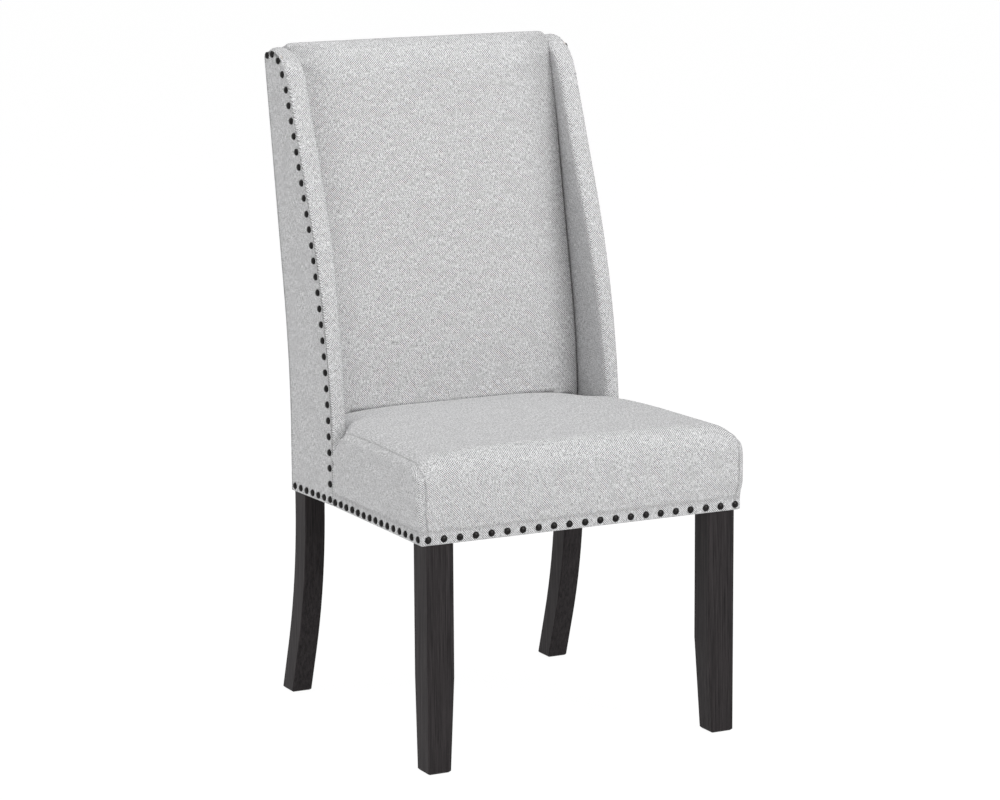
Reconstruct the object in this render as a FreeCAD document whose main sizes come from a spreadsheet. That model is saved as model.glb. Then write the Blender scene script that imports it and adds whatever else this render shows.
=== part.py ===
import FreeCAD, Part
import Sketcher
import math
import os

# Wingback side chair: wooden frame with sabre rear legs, upholstered seat, back and wings, dome nail trim.
# +Z is up, the chair faces -Y and stands on Z = 0. Left and right are as seen from the front.
# Stations run back from the foremost point of the seat, heights run up from the floor, both in millimetres.

Vector = FreeCAD.Vector

dimensions = [
    ("front_leg_size", 44, "square front leg at the top"),
    ("front_leg_taper", 6.5, "taken off both inner faces of a front leg at the foot"),
    ("front_leg_taper_start", 145, "height where that taper starts"),
    ("front_leg_overhang", 11.5, "outer face of a front leg past the outer face of the rails"),
    ("front_leg_station", 11, "front face of the front legs"),
    ("foot_chamfer", 2.5, "bevel round the foot of each leg"),
    ("leg_ease", 1.2, "bevel along the long edges of the legs and posts"),
    ("glide_radius", 11, "plastic glide under each foot"),
    ("glide_height", 1.2, "thickness of a glide"),
    ("frame_half_width", 247.5, "centre line to the outer face of posts, side rails and wing boards"),
    ("post_width", 33.5, "rear post across the chair"),
    ("post_depth", 40, "rear post front to back"),
    ("post_station", 468, "front face of the rear posts at the seat"),
    ("post_top", 1012, "top of the rear posts"),
    ("foot_setback", 63, "rear foot behind the post above it"),
    ("foot_depth", 38, "rear foot front to back"),
    ("knee_height", 192, "height where the rear leg turns back"),
    ("knee_radius", 780, "sabre curve of the rear leg"),
    ("rake_start", 535, "height where the back starts to lean"),
    ("rake_setback", 80, "lean of the back at the top of the posts"),
    ("rake_radius", 1300, "curve from the upright part of a post to the leaning part"),
    ("seat_underside", 347.5, "lower edge of the upholstery at the front of the seat"),
    ("seat_fall", 12, "drop of the seat frame from its front to the back of the posts"),
    ("rail_height", 70, "seat rails"),
    ("rail_thickness", 22, "seat rails and back rails"),
    ("block_reach", 50, "corner block along a rail, from the leg"),
    ("block_height", 46, "corner block"),
    ("block_lift", 12, "corner block above the lower edge of the rails"),
    ("dowel_radius", 4, "frame dowel"),
    ("dowel_length", 32, "frame dowel"),
    ("dowel_edge", 17, "dowel centre from the edge of a rail"),
    ("wing_dowel_rise", 64, "lower dowel of a wing board above the knee of the wing"),
    ("wing_dowel_drop", 128, "upper dowel of a wing board below its top"),
    ("bolt_radius", 3, "leg bolt"),
    ("bolt_grip", 20, "leg bolt inside the leg"),
    ("bolt_tail", 4, "leg bolt past its nut"),
    ("washer_radius", 8, "leg bolt washer"),
    ("washer_thickness", 1.5, "leg bolt washer"),
    ("nut_radius", 5.8, "leg bolt nut over its corners"),
    ("nut_thickness", 5, "leg bolt nut"),
    ("top_rail_height", 60, "back top rail"),
    ("lower_rail_bottom", 440, "lower edge of the back lower rail"),
    ("lower_rail_height", 56, "back lower rail"),
    ("webbing_width", 50, "webbing strap"),
    ("webbing_thickness", 2, "webbing strap"),
    ("seat_strap_pitch", 92, "seat straps, centre to centre"),
    ("back_strap_pitch", 120, "back straps, centre to centre"),
    ("strap_lap", 40, "back strap on each rail"),
    ("cover_thickness", 1.5, "upholstery fabric with its wadding"),
    ("cover_turn", 22, "seat cover turned under the rails"),
    ("soft_gap", 0.3, "between upholstered pieces"),
    ("seat_front", 7, "lower front edge of the seat, behind its foremost point"),
    ("seat_side_taper", 16, "each seat side draws in by this from the front edge to the outside panel"),
    ("seat_side_bulge", 5, "seat side swells past its lower edge"),
    ("seat_band", 22, "flat nailed band along the lower edge of the seat"),
    ("seat_top", 486, "top of the seat crown"),
    ("seat_crown", 20, "crown of the seat from its side seams to the middle"),
    ("seat_rear_fall", 20, "seat top falls by this from the crown to the back"),
    ("seat_crown_station", 190, "highest point of the seat"),
    ("seat_nose_depth", 46, "rounded front edge of the seat, below the crown"),
    ("seat_nose_reach", 32, "rounded front edge of the seat, back from the front"),
    ("seat_nose_drop", 6, "end of the rounded front edge below the crown"),
    ("seat_nose_swell", 5.6, "start of the rounded front edge ahead of the lower edge"),
    ("seat_nose_middle", 5.3, "middle of the rounded front edge behind the lower edge"),
    ("seat_nose_fall", 17.5, "middle of the rounded front edge below the crown"),
    ("board_thickness", 18, "wing board"),
    ("wing_pad", 7, "padding and cover on the inner face of a wing"),
    ("wing_band", 6.5, "front of the wing ahead of the seam of the outside panel"),
    ("board_setback", 3.5, "wing board behind the seam of the outside panel"),
    ("wing_rise", 5, "padding and cover above the wing board"),
    ("wing_edge_radius", 10, "rounded edges of the wing band"),
    ("wing_foam_bevel", 5, "bevelled edges of the foam under the wing band"),
    ("wing_seam", 353.5, "front edge of the outside panel at the seat"),
    ("wing_knee", 589.5, "height where the wing starts to lean"),
    ("wing_setback", 165.3, "lean of the wing front at its top"),
    ("wing_radius", 1150, "long curve of the wing front"),
    ("wing_top", 1022, "top of the wing board and the outside panel"),
    ("wing_corner", 60, "rounded top front corner of the wing"),
    ("wing_rear_corner", 8, "rounded top rear corner of the wing"),
    ("panel_thickness", 4.5, "outside panel, card and fabric"),
    ("back_cover_thickness", 3, "outside back, card and fabric"),
    ("back_pad", 12, "inside back padding at the creases beside the wings"),
    ("back_crown", 16, "crown of the inside back from the creases to the middle"),
    ("back_pad_top", 5, "inside back padding at the creases near the top"),
    ("back_shoulder", 24, "rounded side edges of the inside back"),
    ("back_crest", 1034, "top of the back upholstery"),
    ("crest_depth", 34, "rounded front of the crest, below its top"),
    ("crest_round", 2, "crown of the crest from front to back"),
    ("dust_cover_edge", 8, "dust cover inside the outer faces of the rails"),
    ("dust_cover_thickness", 1, "dust cover"),
    ("nail_radius", 5.5, "nail head"),
    ("nail_crown", 2.6, "top of a nail head"),
    ("nail_height", 3, "nail head"),
    ("nail_rise", 8.5, "nail centres above the lower edge of the upholstery"),
    ("nail_inset", 11, "nail centres behind the wing seam"),
    ("nail_drop", 6, "nail centres below the top of the outside panel"),
    ("nail_corner", 38, "curve of the nail row at the top front corner of the wing"),
    ("front_nail_end", 10, "last front nail from the corner of the seat"),
    ("side_nail_end", 12, "end nails of a seat side from its front corner and from the wing"),
]

seat_front_nails = 21
seat_side_nails = 15
panel_foot_nails = 6
wing_nails = 31
lengthwise_straps = 4
crosswise_straps = 3
back_straps = 3
rod_sides = 8
nut_sides = 6
glide_sides = 16
nail_sides = 8

# Crown of the inside back: distances in from its side edge in shoulder widths, and shares of the full crown
back_crowns = [(0, 0), (0.33, 0.36), (1, 0.62), (4, 0.9)]
# Crown of the seat: places across as shares of its half width
seat_crown_places = [0.48, 0.8, 1.05]
# Middle of a rounded corner of the crest, as a share of the width and height of the corner
corner_share = 0.25

doc = FreeCAD.newDocument("wingback_side_chair")
sheet = doc.addObject("Spreadsheet::Sheet", "sizes")
for row, (alias, number, note) in enumerate(dimensions, start=1):
    sheet.set(f"A{row}", note)
    sheet.set(f"B{row}", str(number))
    sheet.setAlias(f"B{row}", alias)
doc.recompute()


class Size:
    """A size in the sheet, or one worked out from such sizes: its value and the expression that binds it."""

    def __init__(self, value, text):
        self.value = value
        self.text = text

    def __add__(self, other):
        other = as_size(other)
        return Size(self.value + other.value, f"({self.text} + {other.text})")

    def __sub__(self, other):
        other = as_size(other)
        return Size(self.value - other.value, f"({self.text} - {other.text})")

    def __mul__(self, other):
        other = as_size(other)
        return Size(self.value * other.value, f"({self.text} * {other.text})")

    def __truediv__(self, other):
        other = as_size(other)
        return Size(self.value / other.value, f"({self.text} / {other.text})")

    def __neg__(self):
        return Size(-self.value, f"(0 - {self.text})")

    def __radd__(self, other):
        return as_size(other) + self

    def __rsub__(self, other):
        return as_size(other) - self

    def __rmul__(self, other):
        return as_size(other) * self


def as_size(number):
    return number if isinstance(number, Size) else Size(number, f"({number!r})")


class Sizes:
    pass


size = Sizes()
for alias, _, _ in dimensions:
    setattr(size, alias, Size(float(sheet.get(alias)), f"sizes.{alias}"))


def bind(item, path, number):
    item.setExpression(path, as_size(number).text)


# Places that several pieces share

post_rear = size.post_station + size.post_depth
depth = post_rear + size.rake_setback + size.back_cover_thickness
middle = depth / 2
leg_outer = size.frame_half_width + size.front_leg_overhang
leg_inner = leg_outer - size.front_leg_size
leg_rear = size.front_leg_station + size.front_leg_size
post_inner = size.frame_half_width - size.post_width
rail_inner = size.frame_half_width - size.rail_thickness
front_rail_station = size.front_leg_station + (size.front_leg_size - size.rail_thickness) / 2
front_rail_rear = front_rail_station + size.rail_thickness
rear_rail_station = size.post_station + (size.post_depth - size.rail_thickness) / 2
panel_outer = size.frame_half_width + size.panel_thickness
seat_half_front = panel_outer + size.seat_side_taper
board_inner = size.frame_half_width - size.board_thickness
wing_inner = board_inner - size.wing_pad
back_half = wing_inner - size.soft_gap
seat_rear = size.post_station - size.back_pad - size.soft_gap
diagonal = math.sqrt(0.5)
beyond = 3 * size.frame_half_width


def seat_edge(station):
    """Height of the lower edge of the upholstery."""
    return size.seat_underside - size.seat_fall * station / post_rear


def rail_bottom(station):
    return seat_edge(station) + size.cover_thickness


def rail_top(station):
    return rail_bottom(station) + size.rail_height


def rake(height):
    """How far the back leans at a height above the start of the rake."""
    return size.rake_setback * (height - size.rake_start) / (size.post_top - size.rake_start)


def lean(height):
    """How far the wing front leans at a height above its knee."""
    return size.wing_setback * (height - size.wing_knee) / (size.wing_top - size.wing_knee)


def seat_half(station):
    """Half width of the seat along its lower edge."""
    return seat_half_front - size.seat_side_taper * (station - size.seat_front) / (
        size.wing_seam - size.seat_front)


# Sketches and features

def new_body(name):
    body = doc.addObject("PartDesign::Body", name)
    body.Label = name
    bind(body, "Placement.Base.y", -middle)
    return body


def origin_plane(body, role):
    return next(item for item in body.Origin.OriginFeatures if item.Role == role)


def arc_through(start, through, end):
    """Arc of a circle by three points, and whether it runs anticlockwise from start to end."""
    circle = Part.Circle(start, through, end)
    turn = (through - start).cross(end - through).z
    first, last = (start, end) if turn > 0 else (end, start)
    angles = [math.atan2(point.y - circle.Center.y, point.x - circle.Center.x) for point in (first, last)]
    if angles[1] < angles[0]:
        angles[1] += 2 * math.pi
    flat = Part.Circle(circle.Center, Vector(0, 0, 1), circle.Radius)
    return Part.ArcOfCircle(flat, *angles), turn > 0


def outline(body, role, offset, steps):
    """Closed outline on one of the body's planes, every corner bound to the sheet.
    A step is the corner that a line goes to, or a middle point and the corner that an arc goes to."""
    sketch = body.newObject("Sketcher::SketchObject", f"{body.Name}_outline")
    sketch.AttachmentSupport = (origin_plane(body, role), [""])
    sketch.MapMode = "FlatFace"
    bind(sketch, "AttachmentOffset.Base.z", offset)
    corners = [step[-1] if isinstance(step[0], tuple) else step for step in steps]
    places = [Vector(as_size(u).value, as_size(v).value, 0) for u, v in corners]
    constraints = []
    bound = []

    def hold(geometry, position, point):
        for kind, number in zip(("DistanceX", "DistanceY"), point):
            bound.append((len(constraints), number))
            value = as_size(number).value
            constraints.append(Sketcher.Constraint(kind, -1, 1, geometry, position, value))

    ends = []
    middles = []
    for index, step in enumerate(steps):
        start, end = places[index - 1], places[index]
        if isinstance(step[0], tuple):
            through = Vector(as_size(step[0][0]).value, as_size(step[0][1]).value, 0)
            arc, forward = arc_through(start, through, end)
            geometry = sketch.addGeometry(arc, False)
            middles.append((geometry, step[0], through))
            ends.append((geometry, (1, 2) if forward else (2, 1)))
        else:
            ends.append((sketch.addGeometry(Part.LineSegment(start, end), False), (1, 2)))
    for index, (geometry, (_, last)) in enumerate(ends):
        following, (first, _) = ends[(index + 1) % len(ends)]
        constraints.append(Sketcher.Constraint("Coincident", geometry, last, following, first))
        hold(geometry, last, corners[index])
    for arc, point, through in middles:
        mark = sketch.addGeometry(Part.Point(through), True)
        hold(mark, 1, point)
        constraints.append(Sketcher.Constraint("PointOnObject", mark, 1, arc))
    sketch.addConstraint(constraints)
    for index, number in bound:
        bind(sketch, f"Constraints[{index}]", number)
    return sketch


def pad(body, sketch, length):
    feature = body.newObject("PartDesign::Pad", f"{body.Name}_pad")
    feature.Profile = sketch
    bind(feature, "Length", length)
    doc.recompute()
    return feature


def loft(body, sketches):
    feature = body.newObject("PartDesign::AdditiveLoft", f"{body.Name}_loft")
    feature.Profile = sketches[0]
    feature.Sections = sketches[1:]
    feature.Ruled = True
    doc.recompute()
    return feature


def edges_where(feature, wanted):
    return [f"Edge{number}" for number, edge in enumerate(feature.Shape.Edges, start=1) if wanted(edge)]


def dress(body, kind, base, edges, amount):
    feature = body.newObject(f"PartDesign::{kind}", f"{body.Name}_{kind.lower()}")
    feature.Base = (base, edges)
    bind(feature, "Radius" if kind == "Fillet" else "Size", amount)
    doc.recompute()
    return feature


def round_corner(body, base, station, height, radius):
    """Round the corner of a padded outline that lies at a station and a height."""
    place = (as_size(station).value, as_size(height).value)

    def at_corner(edge):
        return all(math.dist((vertex.Y, vertex.Z), place) < 0.01 for vertex in edge.Vertexes)

    return dress(body, "Fillet", base, edges_where(base, at_corner), radius)


def side_profile(name, inner, width, steps, corners=()):
    """Piece sawn to a side profile: an outline of stations and heights, padded across the chair."""
    body = new_body(name)
    feature = pad(body, outline(body, "YZ_Plane", inner, steps), width)
    for station, height, radius in corners:
        feature = round_corner(body, feature, station, height, radius)
    return body


def boolean(kind, name, base, tool):
    item = doc.addObject(f"Part::{kind}", name)
    item.Base = base
    item.Tool = tool
    item.Label = name
    return item


def cut(name, base, *tools):
    for number, tool in enumerate(tools, start=1):
        base = boolean("Cut", name if number == len(tools) else f"{name}_less_{number}", base, tool)
    doc.recompute()
    return base


def mirrored(name, right):
    """The left hand piece of a pair."""
    item = doc.addObject("Part::Mirroring", name)
    item.Source = right
    item.Normal = Vector(1, 0, 0)
    item.Label = name
    return item


def group(name, items):
    item = doc.addObject("Part::Compound", name)
    item.Links = items
    item.Label = name
    doc.recompute()
    return item


def place(item, across, station, height, direction=Vector(0, 0, 1)):
    item.Placement = FreeCAD.Placement(Vector(), FreeCAD.Rotation(Vector(0, 0, 1), direction))
    bind(item, "Placement.Base.x", across)
    bind(item, "Placement.Base.y", station - middle)
    bind(item, "Placement.Base.z", height)
    return item


def rod(name, sides, radius, length):
    item = doc.addObject("Part::Prism", name)
    item.Polygon = sides
    bind(item, "Circumradius", radius)
    bind(item, "Height", length)
    return item


pieces = []


def keep(*items):
    pieces.extend(items)


# Front legs: square above, the two inner faces tapered below

def leg_square(body, height, width, bevel, ease):
    front = size.front_leg_station
    near, far = front + bevel, front + width - bevel
    inner, outer = leg_outer - width + bevel, leg_outer - bevel
    if ease is None:
        return outline(body, "XY_Plane", height, [(inner, near), (outer, near), (outer, far), (inner, far)])
    return outline(body, "XY_Plane", height, [
        (inner + ease, near), (outer - ease, near), (outer, near + ease), (outer, far - ease),
        (outer - ease, far), (inner + ease, far), (inner, far - ease), (inner, near + ease)])


def front_leg(name, ease=None):
    body = new_body(name)
    foot_size = size.front_leg_size - size.front_leg_taper
    levels = [
        (size.glide_height, foot_size, size.foot_chamfer),
        (size.glide_height + size.foot_chamfer, foot_size, 0),
        (size.front_leg_taper_start, size.front_leg_size, 0),
        (rail_top(front_rail_station), size.front_leg_size, 0),
    ]
    squares = [leg_square(body, height, width, bevel, ease) for height, width, bevel in levels]
    loft(body, squares)
    return body


# Rear posts: sabre leg below the seat, leaning back upright above it

def post_profile(name, inner, width):
    foot_front = size.post_station + size.foot_setback
    steps = [
        (foot_front, size.glide_height),
        (size.post_station, size.knee_height),
        (size.post_station, size.rake_start),
        (size.post_station + size.rake_setback, size.post_top),
        (post_rear + size.rake_setback, size.post_top),
        (post_rear, size.rake_start),
        (post_rear, size.knee_height),
        (foot_front + size.foot_depth, size.glide_height),
    ]
    corners = [
        (size.post_station, size.knee_height, size.knee_radius),
        (post_rear, size.knee_height, size.knee_radius),
        (size.post_station, size.rake_start, size.rake_radius),
        (post_rear, size.rake_start, size.rake_radius),
    ]
    return side_profile(name, inner, width, steps, corners)


def rear_post(name):
    body = post_profile(name, post_inner, size.post_width)
    foot_height, head_height = size.glide_height.value, size.post_top.value
    bevel_top = foot_height + size.foot_chamfer.value
    faces = (post_inner.value, size.frame_half_width.value)

    def round_foot(edge):
        return all(abs(vertex.Z - foot_height) < 0.01 for vertex in edge.Vertexes)

    def along_post(edge):
        in_face = any(all(abs(vertex.X - face) < 0.01 for vertex in edge.Vertexes) for face in faces)
        return in_face and bevel_top + 1 < edge.CenterOfMass.z < head_height - 1

    dress(body, "Chamfer", body.Tip, edges_where(body.Tip, round_foot), size.foot_chamfer)
    dress(body, "Chamfer", body.Tip, edges_where(body.Tip, along_post), size.leg_ease)
    return body


leg_blank = front_leg("front_leg_blank")
leg_eased = front_leg("front_leg_eased", size.leg_ease)
post_blank = post_profile("rear_post_blank", post_inner, size.post_width)
post_eased = rear_post("rear_post_eased")
leg_blank_left = mirrored("front_leg_blank_left", leg_blank)
post_blank_left = mirrored("rear_post_blank_left", post_blank)


# Seat rails and back rails

def level_rail(station):
    """Outline of a cross rail of the seat, sloped with the seat frame."""
    back = station + size.rail_thickness
    return [(station, rail_bottom(station)), (back, rail_bottom(back)), (back, rail_top(back)),
            (station, rail_top(station))]


front_rail_blank = side_profile("front_rail_blank", -leg_inner, 2 * leg_inner, level_rail(front_rail_station))
rear_rail_blank = side_profile("rear_rail_blank", -post_inner, 2 * post_inner, level_rail(rear_rail_station))
side_rail_blank = side_profile("side_rail_blank", rail_inner, size.rail_thickness, [
    (leg_rear, rail_bottom(leg_rear)),
    (size.post_station, rail_bottom(size.post_station)),
    (size.post_station, rail_top(size.post_station)),
    (leg_rear, rail_top(leg_rear)),
])
top_rail_bottom = size.post_top - size.top_rail_height
top_rail_station = size.post_station + size.webbing_thickness
top_rail_blank = side_profile("top_rail_blank", -post_inner, 2 * post_inner, [
    (top_rail_station + rake(top_rail_bottom), top_rail_bottom),
    (top_rail_station + rake(top_rail_bottom) + size.rail_thickness, top_rail_bottom),
    (top_rail_station + size.rake_setback + size.rail_thickness, size.post_top),
    (top_rail_station + size.rake_setback, size.post_top),
])
lower_rail_top = size.lower_rail_bottom + size.lower_rail_height
lower_rail_blank = side_profile("lower_rail_blank", -post_inner, 2 * post_inner, [
    (rear_rail_station, size.lower_rail_bottom),
    (rear_rail_station + size.rail_thickness, size.lower_rail_bottom),
    (rear_rail_station + size.rail_thickness, lower_rail_top),
    (rear_rail_station, lower_rail_top),
])


# Wing boards and outside panels share the profile of the wing

def wing_profile(name, inner, width, ahead, above, rear, rear_corner=size.wing_rear_corner):
    """Wing outline, a distance ahead of the seam and above the wing top, back to a rear face."""
    front = size.wing_seam - ahead
    top = size.wing_top + above
    steps = [
        (front, seat_edge(size.wing_seam)),
        (front, size.wing_knee),
        (front + lean(top), top),
        (rear + rake(top), top),
        (rear, size.rake_start),
        (rear, seat_edge(post_rear)),
    ]
    corners = [
        (front, size.wing_knee, size.wing_radius + ahead),
        (front + lean(top), top, size.wing_corner + ahead),
        (rear + rake(top), top, rear_corner),
        (rear, size.rake_start, size.rake_radius),
    ]
    return side_profile(name, inner, width, steps, corners)


below_rails = side_profile("below_rails", -beyond, 2 * beyond, [
    (-beyond, size.glide_height),
    (beyond, size.glide_height),
    (beyond, rail_top(beyond)),
    (-beyond, rail_top(-beyond)),
])
wing_board_whole = wing_profile("wing_board_whole", board_inner, size.board_thickness, -size.board_setback,
                                as_size(0), post_rear - size.cover_thickness,
                                size.wing_rear_corner + size.wing_foam_bevel)
wing_board_blank = cut("wing_board_blank", wing_board_whole, below_rails, post_blank)
outside_panel_right = wing_profile("outside_panel_right", size.frame_half_width, size.panel_thickness,
                                   as_size(0), as_size(0), post_rear)
outside_panel_left = mirrored("outside_panel_left", outside_panel_right)


# Corner blocks, cut at 45 degrees and notched round the leg

def corner_block(name, corner_x, corner_station, rail_face):
    """Block in a corner of the seat frame: the leg's corner, and the face of the cross rail beside it."""
    body = new_body(name)
    reach = corner_x - size.block_reach
    side_end = rail_face + (rail_inner - reach) * (1 if rail_face.value < corner_station.value else -1)
    steps = [(reach, rail_face), (corner_x, rail_face), (corner_x, corner_station),
             (rail_inner, corner_station), (rail_inner, side_end)]
    bottom = rail_bottom(corner_station) + size.block_lift
    pad(body, outline(body, "XY_Plane", bottom, steps), size.block_height)
    return body


front_block_blank = corner_block("front_block_blank", leg_inner, leg_rear, front_rail_rear)
rear_block_blank = corner_block("rear_block_blank", post_inner, size.post_station, rear_rail_station)


# Leg bolts, washers and nuts: each bolt runs through its corner block into the corner of the leg

def hardware(side, corner_x, corner_station, rail_face):
    facing = 1 if rail_face.value > corner_station.value else -1
    direction = Vector(side, facing, 0)
    through = (size.block_reach + (rail_face - corner_station) * facing) / 2
    height = rail_bottom(corner_station) + size.block_lift + size.block_height / 2
    nut_seat = through + size.washer_thickness * diagonal
    tail = nut_seat + (size.nut_thickness + size.bolt_tail) * diagonal
    length = (tail / diagonal) + size.bolt_grip

    def stand(item, back):
        return place(item, (corner_x - back) * side, corner_station - back * facing, height, direction)

    bolt = stand(rod("leg_bolt", rod_sides, size.bolt_radius, length), tail)
    washer_disc = stand(rod("washer_disc", rod_sides, size.washer_radius, size.washer_thickness), nut_seat)
    washer = cut("leg_bolt_washer", washer_disc, bolt)
    nut_blank = rod("nut_blank", nut_sides, size.nut_radius, size.nut_thickness)
    nut = cut("leg_bolt_nut", stand(nut_blank, nut_seat + size.nut_thickness * diagonal), bolt)
    return bolt, washer, nut


corners = [(leg_inner, leg_rear, front_rail_rear), (post_inner, size.post_station, rear_rail_station)]
fastenings = [hardware(side, *corner) for side in (-1, 1) for corner in corners]
leg_bolts, leg_bolt_washers, leg_bolt_nuts = [
    group(name, list(items))
    for name, items in zip(("leg_bolts", "leg_bolt_washers", "leg_bolt_nuts"), zip(*fastenings))]


# Dowels: two across each rail joint, and two from each wing board into its post

def dowel(across, station, height, direction):
    item = rod("dowel", rod_sides, size.dowel_radius, size.dowel_length)
    back = size.dowel_length / 2
    return place(item, across - back * direction.x, station - back * direction.y, height, direction)


def rail_dowel_heights(station):
    return rail_bottom(station) + size.dowel_edge, rail_top(station) - size.dowel_edge


dowels = []
for side in (-1, 1):
    sideways, backwards = Vector(side, 0, 0), Vector(0, 1, 0)
    rail_middle = (rail_inner + size.rail_thickness / 2) * side
    cross_middle = size.rail_thickness / 2
    for end, station in ((leg_inner, front_rail_station), (post_inner, rear_rail_station)):
        for height in rail_dowel_heights(station):
            dowels.append(dowel(end * side, station + cross_middle, height, sideways))
    for station in (leg_rear, size.post_station):
        for height in rail_dowel_heights(station):
            dowels.append(dowel(rail_middle, station, height, backwards))
    for height in (size.lower_rail_bottom + size.dowel_edge, lower_rail_top - size.dowel_edge):
        dowels.append(dowel(post_inner * side, rear_rail_station + cross_middle, height, sideways))
    for height in (top_rail_bottom + size.dowel_edge, size.post_top - size.dowel_edge):
        station = top_rail_station + rake(height) + cross_middle
        dowels.append(dowel(post_inner * side, station, height, sideways))
    board_middle = (size.frame_half_width - size.board_thickness / 2) * side
    for height in (size.wing_knee + size.wing_dowel_rise, size.wing_top - size.wing_dowel_drop):
        dowels.append(dowel(board_middle, size.post_station + rake(height), height, backwards))
frame_dowels = group("frame_dowels", dowels)

# The frame as it is drilled

keep(frame_dowels, leg_bolts, leg_bolt_washers, leg_bolt_nuts)
for part_name, eased in (("front_leg", leg_eased), ("rear_post", post_eased)):
    keep(cut(f"{part_name}_right", eased, frame_dowels, leg_bolts))
    keep(cut(f"{part_name}_left", mirrored(f"{part_name}_eased_left", eased), frame_dowels, leg_bolts))
keep(cut("front_rail", front_rail_blank, frame_dowels))
keep(cut("rear_rail", rear_rail_blank, frame_dowels))
keep(cut("side_rail_right", side_rail_blank, frame_dowels))
keep(cut("side_rail_left", mirrored("side_rail_blank_left", side_rail_blank), frame_dowels))
keep(cut("back_top_rail", top_rail_blank, frame_dowels))
keep(cut("back_lower_rail", lower_rail_blank, frame_dowels))
keep(cut("wing_board_right", wing_board_blank, frame_dowels))
keep(cut("wing_board_left", mirrored("wing_board_blank_left", wing_board_blank), frame_dowels))
for place_name, blank in (("front", front_block_blank), ("rear", rear_block_blank)):
    keep(cut(f"{place_name}_corner_block_right", blank, leg_bolts))
    left_blank = mirrored(f"{place_name}_block_blank_left", blank)
    keep(cut(f"{place_name}_corner_block_left", left_blank, leg_bolts))
keep(outside_panel_right, outside_panel_left)

# Foot glides, under the middle of each foot

foot_half = (size.front_leg_size - size.front_leg_taper) / 2
foot_places = [
    (leg_outer - foot_half, size.front_leg_station + foot_half),
    (size.frame_half_width - size.post_width / 2,
     size.post_station + size.foot_setback + size.foot_depth / 2),
]
glides = []
for across, station in foot_places:
    for side in (-1, 1):
        disc = rod("glide", glide_sides, size.glide_radius, size.glide_height)
        glides.append(place(disc, across * side, station, as_size(0)))
keep(group("leg_glides", glides))


# Webbing: straps over the seat rails, a second layer across them, and upright straps in the back

def strap(name, across, width, front, back, lift):
    low = [(front, rail_top(front) + lift), (back, rail_top(back) + lift)]
    high = [(station, height + size.webbing_thickness) for station, height in reversed(low)]
    return side_profile(name, across, width, low + high)


def strap_shift(index, count, pitch):
    """Near edge of one strap of an evenly spaced row, from the middle of the row."""
    return pitch * (index - (count - 1) / 2) - size.webbing_width / 2


lengthwise = []
for index in range(lengthwise_straps):
    shift = strap_shift(index, lengthwise_straps, size.seat_strap_pitch)
    rear_end = rear_rail_station + size.rail_thickness
    lengthwise.append(strap("strap", shift, size.webbing_width, front_rail_station, rear_end, 0))
crosswise = []
ahead_of_wings = (front_rail_rear + size.wing_seam - size.wing_band) / 2
for index in range(crosswise_straps):
    front = ahead_of_wings + strap_shift(index, crosswise_straps, size.seat_strap_pitch)
    crosswise.append(strap("strap", -size.frame_half_width, 2 * size.frame_half_width, front,
                           front + size.webbing_width, size.webbing_thickness))
keep(group("seat_webbing_lengthwise", lengthwise), group("seat_webbing_crosswise", crosswise))

upright = []
strap_foot = lower_rail_top - size.strap_lap
strap_head = top_rail_bottom + size.strap_lap
top_rail_front = top_rail_station + rake(top_rail_bottom)
for index in range(back_straps):
    shift = strap_shift(index, back_straps, size.back_strap_pitch)
    upright.append(side_profile("back_strap", shift, size.webbing_width, [
        (rear_rail_station - size.webbing_thickness, strap_foot),
        (rear_rail_station, strap_foot),
        (rear_rail_station, lower_rail_top),
        (top_rail_front, top_rail_bottom),
        (top_rail_station + rake(strap_head), strap_head),
        (top_rail_station + rake(strap_head) - size.webbing_thickness, strap_head),
        (top_rail_front - size.webbing_thickness, top_rail_bottom),
        (rear_rail_station - size.webbing_thickness, lower_rail_top),
    ]))
keep(group("back_webbing", upright))


# Wing padding and wing cover: a soft band round the front and top of the board, and a pad on its inner face

def wing_form(name, inset, edge_kind, edge_size):
    inner = wing_inner + inset
    outer = panel_outer - inset
    body = wing_profile(name, inner, outer - inner, size.wing_band - inset, size.wing_rise - inset,
                        post_rear - inset)
    faces = (inner.value, outer.value)
    low, high = size.wing_knee.value, size.wing_top.value - size.wing_corner.value

    def leaning_front(edge):
        middle_point = edge.CenterOfMass
        in_face = any(all(abs(vertex.X - face) < 0.01 for vertex in edge.Vertexes) for face in faces)
        post_front = (size.post_station + rake(as_size(middle_point.z))).value
        return in_face and low < middle_point.z < high and middle_point.y < post_front

    dress(body, edge_kind, body.Tip, edges_where(body.Tip, leaning_front), edge_size)
    return body


wing_outer = wing_form("wing_outer", as_size(0), "Fillet", size.wing_edge_radius)
wing_padding = wing_form("wing_padding", size.cover_thickness, "Chamfer", size.wing_foam_bevel)
wing_cover_right = cut("wing_cover_right", wing_outer, wing_padding, below_rails, outside_panel_right,
                       post_blank)
wing_foam_right = cut("wing_foam_right", wing_padding, below_rails, wing_board_whole, outside_panel_right,
                      post_blank)
keep(wing_cover_right, mirrored("wing_cover_left", wing_cover_right))
keep(wing_foam_right, mirrored("wing_foam_left", wing_foam_right))


# Inside back: a crowned pad between the wings that rolls over the top rail

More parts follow.
